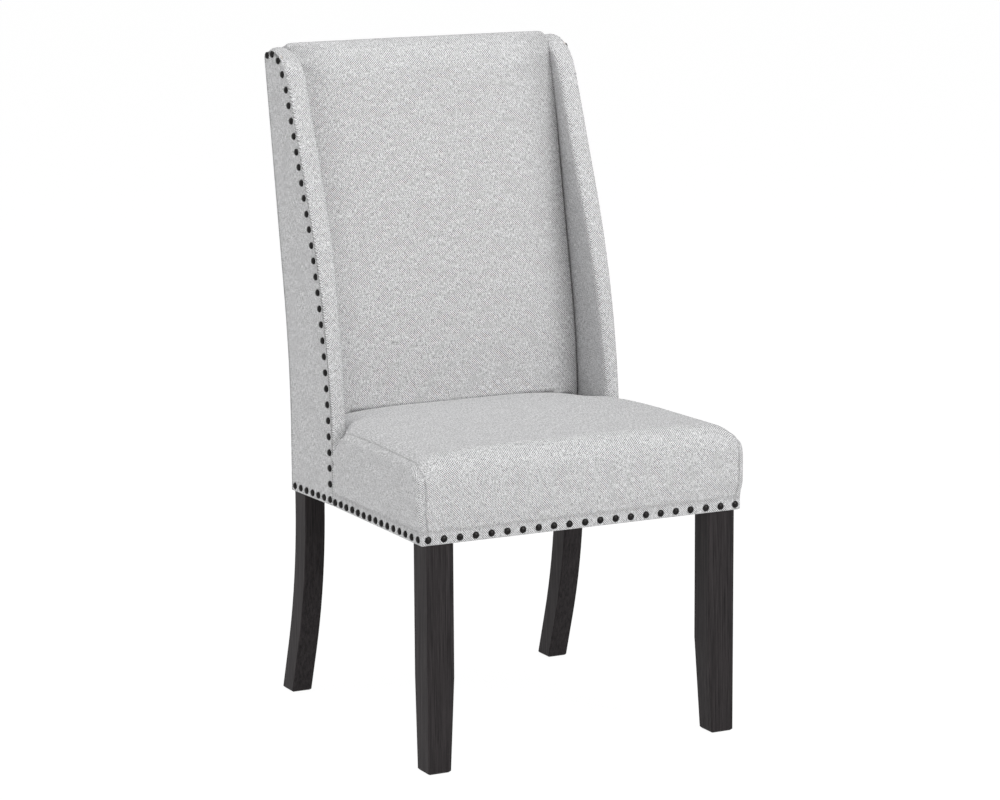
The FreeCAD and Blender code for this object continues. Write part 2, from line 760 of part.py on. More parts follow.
def back_section(body, across, crown, inset):
    """Side outline of the inside back at one place across the chair."""
    bend = size.rake_radius * size.rake_setback / (size.post_top - size.rake_start) / 2
    low, high = size.rake_start - bend, size.rake_start + bend
    swell = bend * size.rake_setback / (size.post_top - size.rake_start) / 4
    front = size.post_station - size.back_pad - crown + inset
    post_middle = size.post_station + size.post_depth / 2
    crest = size.back_crest - inset
    brow = size.back_crest - size.crest_depth
    brow_front = size.post_station - size.back_pad_top - crown + inset + rake(brow)
    crest_rear = post_rear + size.rake_setback - inset
    crest_middle = (brow_front + crest_rear) / 2
    third = (crest_rear - brow_front) / 3
    turn = crest - size.crest_depth * corner_share
    bottom = rail_top(size.post_station) + 2 * size.webbing_thickness
    return outline(body, "YZ_Plane", across, [
        (front, bottom),
        (front, low),
        ((front + swell, size.rake_start), (front + rake(high), high)),
        (brow_front, brow),
        ((brow_front + third * corner_share, turn), (brow_front + third, crest - size.crest_round)),
        ((crest_middle, crest), (crest_rear - third, crest - size.crest_round)),
        ((crest_rear - third * corner_share, turn), (crest_rear, size.post_top)),
        (post_middle, size.rake_start),
        (post_middle, bottom),
    ])


def back_form(name, inset):
    body = new_body(name)
    half = back_half - inset
    right = [(half - share * size.back_shoulder, crown) for share, crown in reversed(back_crowns)]
    left = [(-across, crown) for across, crown in reversed(right)]
    sections = left + [(as_size(0), 1)] + right
    loft(body, [back_section(body, across, crown * size.back_crown, inset) for across, crown in sections])
    return body


back_outer = back_form("back_outer", as_size(0))
back_inner = back_form("back_inner", size.cover_thickness)
back_frame = post_profile("back_frame", -beyond, 2 * beyond)
keep(cut("inside_back_cover", back_outer, back_inner, back_frame))
keep(cut("back_foam", back_inner, back_frame))

# Outside back: a thin panel bent over the rear faces of the posts

back_skin = post_rear + size.back_cover_thickness
keep(side_profile("outside_back_cover", -panel_outer, 2 * panel_outer, [
    (post_rear, seat_edge(post_rear)),
    (post_rear, size.rake_start),
    (post_rear + size.rake_setback, size.post_top),
    (back_skin + size.rake_setback, size.post_top),
    (back_skin, size.rake_start),
    (back_skin, seat_edge(post_rear)),
], [(post_rear, size.rake_start, size.rake_radius), (back_skin, size.rake_start, size.rake_radius)]))


# Seat: a crowned panel that falls over the front, between two side panels that swell past their lower edge

def seat_section(body, across, drop, inset):
    """Side outline of the seat at one place across the chair."""
    top = size.seat_top - drop - inset
    front = size.seat_front + inset
    rear = seat_rear - inset
    band_top = seat_edge(front) + size.seat_band
    nose = top - size.seat_nose_depth
    nose_front = front - size.seat_nose_swell
    nose_end = front + size.seat_nose_reach
    return outline(body, "YZ_Plane", across, [
        (rear, seat_edge(rear) + inset),
        (front, seat_edge(front) + inset),
        (front, band_top),
        ((front - size.seat_front, (band_top + nose) / 2), (nose_front, nose)),
        ((front + size.seat_nose_middle, top - size.seat_nose_fall), (nose_end, top - size.seat_nose_drop)),
        ((size.seat_crown_station, top), (rear, top - size.seat_rear_fall)),
    ])


def seat_crown_loft(name, inset):
    body = new_body(name)
    sketches = []
    for share in [-share for share in reversed(seat_crown_places)] + [0] + seat_crown_places:
        drop = size.seat_crown * share ** 4
        sketches.append(seat_section(body, seat_half_front * share, drop, inset))
    loft(body, sketches)
    return body


def seat_sides_loft(name, inset):
    body = new_body(name)
    sketches = []
    for station in (-size.front_leg_size, post_rear):
        half = seat_half(station) - inset
        low = seat_edge(station) + inset
        band_top = seat_edge(station) + size.seat_band
        seam = size.seat_top
        swell = half + size.seat_side_bulge
        half_height = (band_top + seam) / 2
        sketches.append(outline(body, "XZ_Plane", -station, [
            (-half, low),
            (half, low),
            (half, band_top),
            ((swell, half_height), (half, seam)),
            (half, size.post_top),
            (-half, size.post_top),
            (-half, seam),
            ((-swell, half_height), (-half, band_top)),
        ]))
    loft(body, sketches)
    return body


def seat_form(name, inset):
    crowned = seat_crown_loft(f"{name}_crowned", inset)
    sides = seat_sides_loft(f"{name}_sides", inset)
    gap = size.soft_gap + inset
    tools = []
    wing_front = size.wing_seam - size.wing_band - gap
    beside_wing = side_profile(f"{name}_beside_wing", wing_inner - gap, beyond, [
        (wing_front, rail_top(wing_front)),
        (beyond, rail_top(beyond)),
        (beyond, beyond),
        (wing_front, beyond),
    ])
    seam = size.wing_seam - gap
    beside_panel = side_profile(f"{name}_beside_panel", size.frame_half_width - gap, beyond, [
        (seam, size.glide_height),
        (beyond, size.glide_height),
        (beyond, beyond),
        (seam, beyond),
    ])
    for notch in (beside_wing, beside_panel):
        tools += [notch, mirrored(f"{notch.Name}_left", notch)]
    tools.append(back_form(f"{name}_back", -gap))
    doc.recompute()
    return cut(name, boolean("Common", f"{name}_whole", crowned, sides), *tools)


seat_outer = seat_form("seat_outer", as_size(0))
seat_inner = seat_form("seat_inner", size.cover_thickness)
frame_space = side_profile("frame_space", -size.frame_half_width, 2 * size.frame_half_width, [
    (front_rail_station, rail_bottom(front_rail_station)),
    (beyond, rail_bottom(beyond)),
    (beyond, rail_top(beyond) + 2 * size.webbing_thickness),
    (front_rail_station, rail_top(front_rail_station) + 2 * size.webbing_thickness),
])
opening_half = size.frame_half_width - size.cover_turn
opening_front = front_rail_station + size.cover_turn
opening_top = rail_top(front_rail_station)
cover_opening = side_profile("cover_opening", -opening_half, 2 * opening_half, [
    (opening_front, size.glide_height),
    (beyond, size.glide_height),
    (beyond, opening_top),
    (opening_front, opening_top),
])
keep(cut("seat_cover", seat_outer, seat_inner, frame_space, cover_opening, leg_blank, leg_blank_left))
keep(cut("seat_foam", seat_inner, frame_space, leg_blank, leg_blank_left))

dust_front = front_rail_station + size.dust_cover_edge
dust_rear = post_rear - size.dust_cover_edge
dust_half = size.frame_half_width - size.dust_cover_edge
dust_sheet = side_profile("dust_sheet", -dust_half, 2 * dust_half, [
    (dust_front, seat_edge(dust_front)),
    (dust_front, seat_edge(dust_front) - size.dust_cover_thickness),
    (dust_rear, seat_edge(dust_rear) - size.dust_cover_thickness),
    (dust_rear, seat_edge(dust_rear)),
])
keep(cut("dust_cover", dust_sheet, leg_blank, leg_blank_left, post_blank, post_blank_left))


# Decorative nails, evenly spaced along each edge

def rounded_line(points, radii):
    """Wire of straight runs with an arc of the given radius at each inner point."""
    points = [Vector(*[as_size(number).value for number in point]) for point in points]
    edges = []
    last = points[0]
    for before, corner, after, radius in zip(points, points[1:], points[2:], radii):
        back = (before - corner).normalize()
        ahead = (after - corner).normalize()
        half_turn = (math.pi - back.getAngle(ahead)) / 2
        reach = as_size(radius).value * math.tan(half_turn)
        towards = (back + ahead).normalize()
        depth_in = as_size(radius).value * (1 / math.cos(half_turn) - 1)
        first, end = corner + back * reach, corner + ahead * reach
        edges += [Part.LineSegment(last, first), Part.Arc(first, corner + towards * depth_in, end)]
        last = end
    edges.append(Part.LineSegment(last, points[-1]))
    return Part.Wire([edge.toShape() for edge in edges])


def nail_heads(points, outward):
    """Bevelled buttons standing on their flat faces at the given points."""
    rims = []
    for radius, height in ((size.nail_radius, as_size(0)), (size.nail_crown, size.nail_height)):
        turns = [2 * math.pi * corner / nail_sides for corner in range(nail_sides)]
        rims.append([Vector(radius.value * math.cos(turn), radius.value * math.sin(turn), height.value)
                     for turn in turns])
    low, high = rims
    outlines = [low, high] + [
        [low[side - 1], low[side], high[side], high[side - 1]] for side in range(nail_sides)]
    faces = [Part.Face(Part.makePolygon(points + points[:1])) for points in outlines]
    button = Part.makeSolid(Part.makeShell(faces))
    heads = []
    for point in points:
        head = button.copy()
        head.Placement = FreeCAD.Placement(point, FreeCAD.Rotation(Vector(0, 0, 1), outward))
        heads.append(head)
    return heads


def nail_row(name, heads):
    item = doc.addObject("Part::Feature", name)
    item.Shape = Part.makeCompound(heads)
    item.Label = name
    item.Placement.Base.y = -middle.value
    return item


front_half = seat_half_front - size.front_nail_end
front_height = seat_edge(size.seat_front) + size.nail_rise
front_wire = rounded_line([(-front_half, size.seat_front, front_height),
                           (front_half, size.seat_front, front_height)], [])
front_heads = nail_heads(front_wire.discretize(Number=seat_front_nails), Vector(0, -1, 0))
keep(nail_row("seat_front_nails", front_heads))

side_ends = [size.seat_front + size.side_nail_end, size.wing_seam - size.side_nail_end]
side_wire = rounded_line([(seat_half(station), station, seat_edge(station) + size.nail_rise)
                          for station in side_ends], [])
side_outward = Vector(1, (size.seat_side_taper / (size.wing_seam - size.seat_front)).value, 0)
side_heads = nail_heads(side_wire.discretize(Number=seat_side_nails), side_outward)
side_row = nail_row("seat_side_nails_right", side_heads)
keep(side_row, mirrored("seat_side_nails_left", side_row))

row_front = size.wing_seam + size.nail_inset
row_top = size.wing_top - size.nail_drop
row_rear = post_rear - size.nail_inset
row_foot = seat_edge(size.wing_seam) + size.nail_rise
wing_wire = rounded_line([
    (panel_outer, row_front, row_foot),
    (panel_outer, row_front, size.wing_knee),
    (panel_outer, row_front + lean(row_top), row_top),
    (panel_outer, row_rear + rake(row_top), row_top),
], [size.wing_radius, size.nail_corner])
foot_start = row_front + (row_rear - row_front) / panel_foot_nails
foot_wire = rounded_line([(panel_outer, station, seat_edge(station) + size.nail_rise)
                          for station in (foot_start, row_rear)], [])
wing_points = wing_wire.discretize(Number=wing_nails) + foot_wire.discretize(Number=panel_foot_nails)
wing_row = nail_row("wing_nails_right", nail_heads(wing_points, Vector(1, 0, 0)))
keep(wing_row, mirrored("wing_nails_left", wing_row))

# Every piece is checked before any is written

doc.recompute()
failed = [item.Name for item in doc.Objects if {"Invalid", "Error"} & set(item.State)]
if failed:
    raise RuntimeError(f"failed objects: {failed}")
for piece in pieces:
    if piece.Shape.isNull() or not piece.Shape.isValid() or not piece.Shape.Solids:
        raise RuntimeError(f"bad shape: {piece.Label}")
os.makedirs("parts", exist_ok=True)
for piece in pieces:
    piece.Shape.exportStep(f"parts/{piece.Label}.step")
    print(piece.Label, len(piece.Shape.Solids), "solids", round(piece.Shape.Volume / 1000, 2), "cm3")
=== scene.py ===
import math
import random
import bmesh
import bpy
from mathutils import Matrix, Quaternion, Vector


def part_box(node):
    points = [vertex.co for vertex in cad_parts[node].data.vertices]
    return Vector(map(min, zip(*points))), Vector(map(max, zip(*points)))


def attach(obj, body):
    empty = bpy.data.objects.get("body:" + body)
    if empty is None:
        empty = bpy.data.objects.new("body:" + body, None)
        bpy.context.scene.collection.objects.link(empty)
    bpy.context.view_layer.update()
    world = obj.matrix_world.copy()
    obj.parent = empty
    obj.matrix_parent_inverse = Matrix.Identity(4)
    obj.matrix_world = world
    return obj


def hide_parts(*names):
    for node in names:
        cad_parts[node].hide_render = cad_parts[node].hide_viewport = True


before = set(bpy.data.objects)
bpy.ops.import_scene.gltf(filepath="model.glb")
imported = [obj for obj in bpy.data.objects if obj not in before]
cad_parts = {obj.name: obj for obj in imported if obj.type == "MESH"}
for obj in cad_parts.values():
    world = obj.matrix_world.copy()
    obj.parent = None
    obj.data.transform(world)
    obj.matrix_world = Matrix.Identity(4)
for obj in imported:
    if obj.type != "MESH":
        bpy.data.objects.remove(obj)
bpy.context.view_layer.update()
scene = bpy.context.scene
scene.view_settings.view_transform = "Standard"
print("frame loaded:", len(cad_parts), "nodes")

# The chair's own lines, in millimetres. A station runs back from the front of the seat.
chair = {
    "middleStation": 295.5,   # station of the frame's middle
    "edge": 347.5,            # lower edge of the upholstery at station 0
    "edgeFall": 12.0,         # and how far it has dropped at the back of the posts
    "postFront": 468.0,
    "postRear": 508.0,
    "rakeKnee": 535.0,        # the posts lean back from here
    "rakeSlope": 80.0 / 477.0,
    "rakeRadius": 1300.0,
    "wingFront": 349.0,       # front of the wing band at the seat, before it swells
    "wingKnee": 589.5,
    "wingSlope": 165.3 / 432.5,
    "wingRadius": 1150.0,
    "wingTop": 1026.6,
    "outside": 252.0,         # half the width over the outside panels
    "rearDrop": 9.0,          # the top of the wing turns down at the back
    "rearReach": 26.0,
    "rearDropReach": 70.0,
    "tip": 5.0,               # lean added at the very top of the wing
    "tipFrom": 930.0,
    "slimFrom": 480.0,        # from here up the wings grow thicker
    "slimReach": 360.0,
}


def smooth(value):
    value = min(1.0, max(0.0, value))
    return value * value * (3 - 2 * value)


def edgeHeight(station):
    return chair["edge"] - chair["edgeFall"] * station / chair["postRear"]


def leaning(height, knee, slope, radius):  # upright, then a long arc, then a straight lean
    angle = math.atan(slope)
    rise = height - knee + radius * math.tan(angle / 2)
    if rise <= 0:
        return 0.0
    if rise < radius * math.sin(angle):
        return radius - math.sqrt(radius ** 2 - rise ** 2)
    return slope * (height - knee)


def rake(height):
    return leaning(height, chair["rakeKnee"], chair["rakeSlope"], chair["rakeRadius"])


def wingTip(height):  # close to the top the front of the wing leans back a little more
    return chair["tip"] * max(0.0, (height - chair["tipFrom"]) / (chair["wingTop"] - chair["tipFrom"])) ** 2


def wingLine(height):
    lean = leaning(height, chair["wingKnee"], chair["wingSlope"], chair["wingRadius"])
    return chair["wingFront"] + lean + wingTip(height)


def lowerWings(height):  # share of the wing's slimming towards the seat
    return 1 - smooth((height - chair["slimFrom"]) / chair["slimReach"])


def rounded(across, down, reachAcross, reachDown):  # squares nested in a corner become arcs
    p = 1 - across / reachAcross
    q = 1 - down / reachDown
    if p <= 0 or q <= 0:
        return across, down
    turn = math.pi / 4 * min(p, q) / max(p, q)
    turn = turn if p >= q else math.pi / 2 - turn
    size = max(p, q)
    return reachAcross * (1 - size * math.cos(turn)), reachDown * (1 - size * math.sin(turn))


def atPlace(across, station, height):
    return Vector((across, station - chair["middleStation"], height)) / 1000


# Materials
def linear(text):
    parts = [int(text[i:i + 2], 16) / 255 for i in (1, 3, 5)]
    return [c / 12.92 if c <= 0.04045 else ((c + 0.055) / 1.055) ** 2.4 for c in parts] + [1.0]


def addNode(tree, kind, settings=None, links=None):
    node = tree.nodes.new("ShaderNode" + kind)
    for name, value in (settings or {}).items():
        if isinstance(name, str) and hasattr(node, name):
            setattr(node, name, value)
        else:
            node.inputs[name].default_value = value
    for name, source in (links or {}).items():
        tree.links.new(source, node.inputs[name])
    return node


def newMaterial(name):
    material = bpy.data.materials.new(name)
    material.use_nodes = True
    tree = material.node_tree
    tree.nodes.clear()
    shader = addNode(tree, "BsdfPrincipled")
    addNode(tree, "OutputMaterial", links={"Surface": shader.outputs["BSDF"]})
    return material, tree, shader


# Heathered cotton basket weave: a matt, soft grey cloth whose paler and darker yarns cross in a
# fine broken check, so that it looks like salt and pepper. Real threads lie about 1.2 mm apart;
# they are drawn coarser, so that the check shows at the size of the picture.
weave = {
    "threadMm": 1.8,
    "speckMm": 2.4,
    "speckShare": 0.42,
    "slubMm": (1.6, 7.0),     # across and along a thicker yarn
    "weftShare": 0.7,         # the upright yarns show more than the level ones
    "patchMm": 26.0,          # the check shows in some patches more than in others
    "patchFrom": (0.35, 0.65),
    "patchTo": (0.2, 0.8),
    "wanderMm": 0.7,          # how far the threads stray from straight
    "strayMm": 9.0,           # and over what length
    "checkGain": 1.3,
    "toneGain": 1.6,
    "darkAt": 0.15,
    "paleAt": 0.74,
    "pale": "#FAFAFB",
    "dark": "#69696A",
    # painted shade in the seams, creases and tucks: its colour, and how strongly it darkens the cloth
    "seam": "#5A5958",
    "seamShade": 0.7,
    "bumpMm": 0.5,
    "bumpStrength": 0.3,
    "rough": 0.92,
    "shine": 0.15,
    "sheen": 0.06,
    "sheenRough": 0.5,
}


def makeWeave():
    material, tree, shader = newMaterial("heathered cotton basket weave")
    uv = addNode(tree, "UVMap", {"uv_map": "weave"})
    stray = addNode(tree, "TexNoise", {"Scale": 1000 / weave["strayMm"], "Detail": 1.0},
                    {"Vector": uv.outputs["UV"]})
    off = addNode(tree, "VectorMath", {"operation": "SCALE", "Scale": weave["wanderMm"] / 1000},
                  {0: stray.outputs["Color"]})
    cloth = addNode(tree, "VectorMath", {"operation": "ADD"}, {0: uv.outputs["UV"], 1: off.outputs[0]})
    pace = math.pi / (weave["threadMm"] / 1000)
    phase = addNode(tree, "VectorMath", {"operation": "SCALE", "Scale": pace}, {0: cloth.outputs[0]})
    parts = addNode(tree, "SeparateXYZ", links={0: phase.outputs[0]})
    warp = addNode(tree, "Math", {"operation": "SINE"}, {0: parts.outputs["X"]})
    weft = addNode(tree, "Math", {"operation": "SINE"}, {0: parts.outputs["Y"]})
    check = addNode(tree, "Math", {"operation": "MULTIPLY"}, {0: warp.outputs[0], 1: weft.outputs[0]})
    over = addNode(tree, "Math", {"operation": "MULTIPLY_ADD", "use_clamp": True, 1: weave["checkGain"], 2: 0.5},
                   {0: check.outputs[0]})
    # yarn by yarn tone: narrow across the thread and a little longer along it
    narrow, long = (1000 / reach for reach in weave["slubMm"])
    tones = []
    for stretch in ((narrow, long, 1.0), (long, narrow, 1.0)):
        spot = addNode(tree, "VectorMath", {"operation": "MULTIPLY", 1: stretch}, {0: cloth.outputs[0]})
        tones.append(addNode(tree, "TexNoise", {"Scale": 1.0, "Detail": 1.0}, {"Vector": spot.outputs[0]}))
    upright = addNode(tree, "Math", {"operation": "MULTIPLY", 1: weave["weftShare"]}, {0: over.outputs[0]})
    yarn = addNode(tree, "Mix", {"data_type": "FLOAT"},
                   {0: upright.outputs[0], 2: tones[0].outputs[0], 3: tones[1].outputs[0]})
    speck = addNode(tree, "TexNoise", {"Scale": 1000 / weave["speckMm"], "Detail": 2.0, "Roughness": 0.65},
                    {"Vector": cloth.outputs[0]})
    mixed = addNode(tree, "Mix", {"data_type": "FLOAT", 0: weave["speckShare"]},
                    {2: yarn.outputs[0], 3: speck.outputs[0]})
    patch = addNode(tree, "TexNoise", {"Scale": 1000 / weave["patchMm"], "Detail": 2.0},
                    {"Vector": cloth.outputs[0]})
    faint, full = weave["patchTo"]
    low, high = weave["patchFrom"]
    clear = addNode(tree, "MapRange", {"From Min": low, "From Max": high, "To Min": faint, "To Max": full},
                    {"Value": patch.outputs[0]})
    raised = addNode(tree, "Math", {"operation": "SUBTRACT", 1: 0.5}, {0: over.outputs[0]})
    lit = addNode(tree, "Math", {"operation": "MULTIPLY"}, {0: raised.outputs[0], 1: clear.outputs[0]})
    gain = weave["toneGain"]
    strong = addNode(tree, "Math", {"operation": "MULTIPLY_ADD", 1: gain, 2: (1 - gain) / 2}, {0: mixed.outputs[0]})
    tone = addNode(tree, "Math", {"operation": "ADD"}, {0: strong.outputs[0], 1: lit.outputs[0]})
    colour = addNode(tree, "ValToRGB", links={"Fac": tone.outputs[0]})
    ramp = colour.color_ramp.elements
    ramp[0].position, ramp[0].color = weave["darkAt"], linear(weave["dark"])
    ramp[1].position, ramp[1].color = weave["paleAt"], linear(weave["pale"])
    # painted shade: the cloth is drawn darker towards the painted shade colour wherever the per-vertex seam
    # attribute is set
    seam = addNode(tree, "Attribute", {"attribute_name": "seam"})
    dusk = addNode(tree, "Math", {"operation": "MULTIPLY", 1: weave["seamShade"]}, {0: seam.outputs["Fac"]})
    shaded = addNode(tree, "Mix", {"data_type": "RGBA", "blend_type": "MULTIPLY", 7: linear(weave["seam"])},
                     {0: dusk.outputs[0], 6: colour.outputs["Color"]})
    bump = addNode(tree, "Bump", {"Strength": weave["bumpStrength"], "Distance": weave["bumpMm"] / 1000},
                   {"Height": tone.outputs[0]})
    tree.links.new(shaded.outputs[2], shader.inputs["Base Color"])
    tree.links.new(bump.outputs["Normal"], shader.inputs["Normal"])
    shader.inputs["Roughness"].default_value = weave["rough"]
    shader.inputs["Specular IOR Level"].default_value = weave["shine"]
    shader.inputs["Sheen Weight"].default_value = weave["sheen"]
    shader.inputs["Sheen Roughness"].default_value = weave["sheenRough"]
    return material


# A wood's straight growth lines run along the piece: bands of tone a few millimetres wide with
# fine pores inside them. The legs are stained nearly black under satin lacquer, the inner frame
# is left pale and sawn.
woodGrain = {
    "stretch": 45.0,          # a growth line is this much longer than it is wide
    "poreRatio": 3.1,         # and this much wider than a pore
    "poreShare": 0.45,
    "darkAt": 0.32,
    "paleAt": 0.68,
    "duller": 0.08,           # the dark lines are duller than the mean
    "glossier": 0.06,         # and the pale ones glossier
    "bumpStrength": 0.4,
}


def makeWood(name, along, pale, dark, rough, grainMm, bumpMm, shine):
    material, tree, shader = newMaterial(name)
    place = addNode(tree, "TexCoord")
    grain = [1000 / grainMm] * 3
    grain[along] = 1000 / (grainMm * woodGrain["stretch"])
    pores = [value * woodGrain["poreRatio"] for value in grain]
    spots = []
    for stretch in (grain, pores):
        spot = addNode(tree, "VectorMath", {"operation": "MULTIPLY", 1: stretch}, {0: place.outputs["Object"]})
        spots.append(addNode(tree, "TexNoise", {"Scale": 1.0, "Detail": 4.0, "Roughness": 0.6, "Distortion": 0.3},
                             {"Vector": spot.outputs[0]}))
    tone = addNode(tree, "Mix", {"data_type": "FLOAT", 0: woodGrain["poreShare"]},
                   {2: spots[0].outputs[0], 3: spots[1].outputs[0]})
    colour = addNode(tree, "ValToRGB", links={"Fac": tone.outputs[0]})
    ramp = colour.color_ramp.elements
    ramp[0].position, ramp[0].color = woodGrain["darkAt"], linear(dark)
    ramp[1].position, ramp[1].color = woodGrain["paleAt"], linear(pale)
    gloss = addNode(tree, "MapRange",
                    {"To Min": rough + woodGrain["duller"], "To Max": rough - woodGrain["glossier"]},
                    {"Value": tone.outputs[0]})
    bump = addNode(tree, "Bump", {"Strength": woodGrain["bumpStrength"], "Distance": bumpMm / 1000},
                   {"Height": spots[1].outputs[0]})
    tree.links.new(colour.outputs["Color"], shader.inputs["Base Color"])
    tree.links.new(gloss.outputs[0], shader.inputs["Roughness"])
    tree.links.new(bump.outputs["Normal"], shader.inputs["Normal"])
    shader.inputs["Specular IOR Level"].default_value = shine
    return material


# Metals, plastic and plain cloth: one colour broken by fine specks
specked = {
    "darkAt": 0.3,
    "paleAt": 0.7,
    "glossChange": 0.1,
    "bumpStrength": 0.3,
}


def makeSpeckled(name, pale, dark, speckMm, rough, metallic=0.0, bumpMm=0.05):
    material, tree, shader = newMaterial(name)
    place = addNode(tree, "TexCoord")
    spot = addNode(tree, "VectorMath", {"operation": "SCALE", "Scale": 1000 / speckMm},
                   {0: place.outputs["Object"]})
    specks = addNode(tree, "TexNoise", {"Scale": 1.0, "Detail": 3.0, "Roughness": 0.6}, {"Vector": spot.outputs[0]})
    colour = addNode(tree, "ValToRGB", links={"Fac": specks.outputs[0]})
    ramp = colour.color_ramp.elements
    ramp[0].position, ramp[0].color = specked["darkAt"], linear(dark)
    ramp[1].position, ramp[1].color = specked["paleAt"], linear(pale)
    change = specked["glossChange"]
    gloss = addNode(tree, "MapRange", {"To Min": rough + change, "To Max": rough - change},
                    {"Value": specks.outputs[0]})
    bump = addNode(tree, "Bump", {"Strength": specked["bumpStrength"], "Distance": bumpMm / 1000},
                   {"Height": specks.outputs[0]})
    tree.links.new(colour.outputs["Color"], shader.inputs["Base Color"])
    tree.links.new(gloss.outputs[0], shader.inputs["Roughness"])
    tree.links.new(bump.outputs["Normal"], shader.inputs["Normal"])
    shader.inputs["Metallic"].default_value = metallic
    return material


heatherWeave = makeWeave()
# drawn coarser than real pores, which are about 0.3 mm
stainedLegs = makeWood("beech stained charcoal under satin lacquer", 2, "#444041", "#1B191A",
                       rough=0.5, grainMm=3.0, bumpMm=0.12, shine=0.07)
sawnFrame = [makeWood("sawn rubberwood along " + "xyz"[i], i, "#C9A77C", "#A9845A",
                      rough=0.75, grainMm=4.0, bumpMm=0.2, shine=0.4) for i in range(3)]
# oil blackened steel: near black, with a soft grey glint on the dome and a little mottling
blackNails = makeSpeckled("oil blackened steel", "#323131", "#171616", speckMm=2.5, rough=0.3, metallic=1.0)
# bright zinc plate: pale grey, faintly cloudy, half gloss
zincSteel = makeSpeckled("zinc plated steel", "#C5C7C8", "#A8ABAD", speckMm=3.0, rough=0.34, metallic=1.0)
# moulded black nylon: fine even grain with a dull shine
blackNylon = makeSpeckled("moulded black nylon", "#2B2B2B", "#1C1C1C", speckMm=0.8, rough=0.5)
# stretched jute webbing: tan, coarse and hairy, without gloss
juteWebbing = makeSpeckled("woven jute webbing", "#B08F62", "#7F6340", speckMm=1.2, rough=0.9, bumpMm=0.4)
# spun black cambric: thin, dull lining cloth with a felted surface
blackLining = makeSpeckled("spun black cambric", "#2A2A2B", "#171718", speckMm=0.9, rough=0.95, bumpMm=0.2)
print("materials made")


# Padded forms
def eased(fraction, closer):  # lattice lines lie closer together at both ends
    return fraction - closer * math.sin(2 * math.pi * fraction) / (2 * math.pi)


def padForm(name, cells, closer, place, held, seamAt):
    form = bmesh.new()
    bmesh.ops.create_cube(form, size=1.0)
    for axis, count in enumerate(cells):
        along = [edge for edge in form.edges if abs((edge.verts[0].co - edge.verts[1].co)[axis]) > 0.5]
        bmesh.ops.subdivide_edges(form, edges=along, cuts=count - 1, use_grid_fill=True)
    form.normal_update()
    uvLayer = form.loops.layers.uv.new("weave")
    # per-vertex painted shade along the seams and in the creases
    seamLayer = form.verts.layers.float.new("seam")
    faceAxis = {face: max(range(3), key=lambda axis: abs(face.normal[axis])) for face in form.faces}
    steps = {}
    for vert in form.verts:
        steps[vert] = tuple(round((vert.co[axis] + 0.5) * cells[axis]) for axis in range(3))

    def spot(step):
        return place(*(eased(step[axis] / cells[axis], closer[axis]) for axis in range(3)), step)

    # run of the cloth up the front and back over the top, along the middle of the piece
    middle = cells[0] // 2
    upFront = [spot((middle, 0, k)) for k in range(cells[2] + 1)]
    overTop = [spot((middle, k, cells[2])) for k in range(cells[1] + 1)]
    frontRun, topRun = [0.0], [0.0]
    for k in range(cells[2]):
        frontRun.append(frontRun[-1] + (upFront[k + 1] - upFront[k]).length)
    for k in range(cells[1]):
        topRun.append(topRun[-1] + (overTop[k + 1] - overTop[k]).length)
    for vert in form.verts:
        vert.co = spot(steps[vert])
        vert[seamLayer] = seamAt(steps[vert])
    for face in form.faces:
        for loop in face.loops:
            step, co = steps[loop.vert], loop.vert.co
            along = {0: (co.y, co.z), 1: (co.x, frontRun[step[2]]), 2: (co.x, frontRun[-1] + topRun[step[1]])}
            loop[uvLayer].uv = along[faceAxis[face]]
        face.smooth = True
    bmesh.ops.recalc_face_normals(form, faces=form.faces)
    form.verts.index_update()
    fast = [vert.index for vert in form.verts if held(steps[vert])]
    mesh = bpy.data.meshes.new(name)
    form.to_mesh(mesh)
    form.free()
    piece = bpy.data.objects.new(name, mesh)
    scene.collection.objects.link(piece)
    return piece, fast


stuffing = {
    "frames": 20,
    "quality": 5,
    "softenLevels": 1,
}


def swell(piece, fast, pressure, cap):  # the stuffing pushes the cover out between its seams
    start = [vert.co.copy() for vert in piece.data.vertices]
    group = piece.vertex_groups.new(name="held")
    group.add(fast, 1.0, "REPLACE")
    cloth = piece.modifiers.new("swell", "CLOTH")
    cloth.settings.vertex_group_mass = "held"
    cloth.settings.use_pressure = True
    cloth.settings.uniform_pressure_force = pressure
    cloth.settings.effector_weights.gravity = 0
    cloth.settings.quality = stuffing["quality"]
    cloth.point_cache.frame_start = 1
    cloth.point_cache.frame_end = stuffing["frames"]
    for number in range(1, stuffing["frames"] + 1):
        scene.frame_set(number)
    ready = piece.evaluated_get(bpy.context.evaluated_depsgraph_get()).data
    for vert, old, new in zip(piece.data.vertices, start, ready.vertices):
        move = new.co - old
        if move.length > 1e-7:
            vert.co = old + move.normalized() * cap / 1000 * math.tanh(move.length * 1000 / cap)
    piece.modifiers.remove(cloth)
    piece.vertex_groups.remove(group)
    scene.frame_set(1)


def finishPad(piece, material, nodes):
    soften = piece.modifiers.new("soften", "SUBSURF")
    soften.levels = stuffing["softenLevels"]
    soften.render_levels = stuffing["softenLevels"]
    piece.data.materials.append(material)
    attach(piece, "root")
    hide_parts(*nodes)


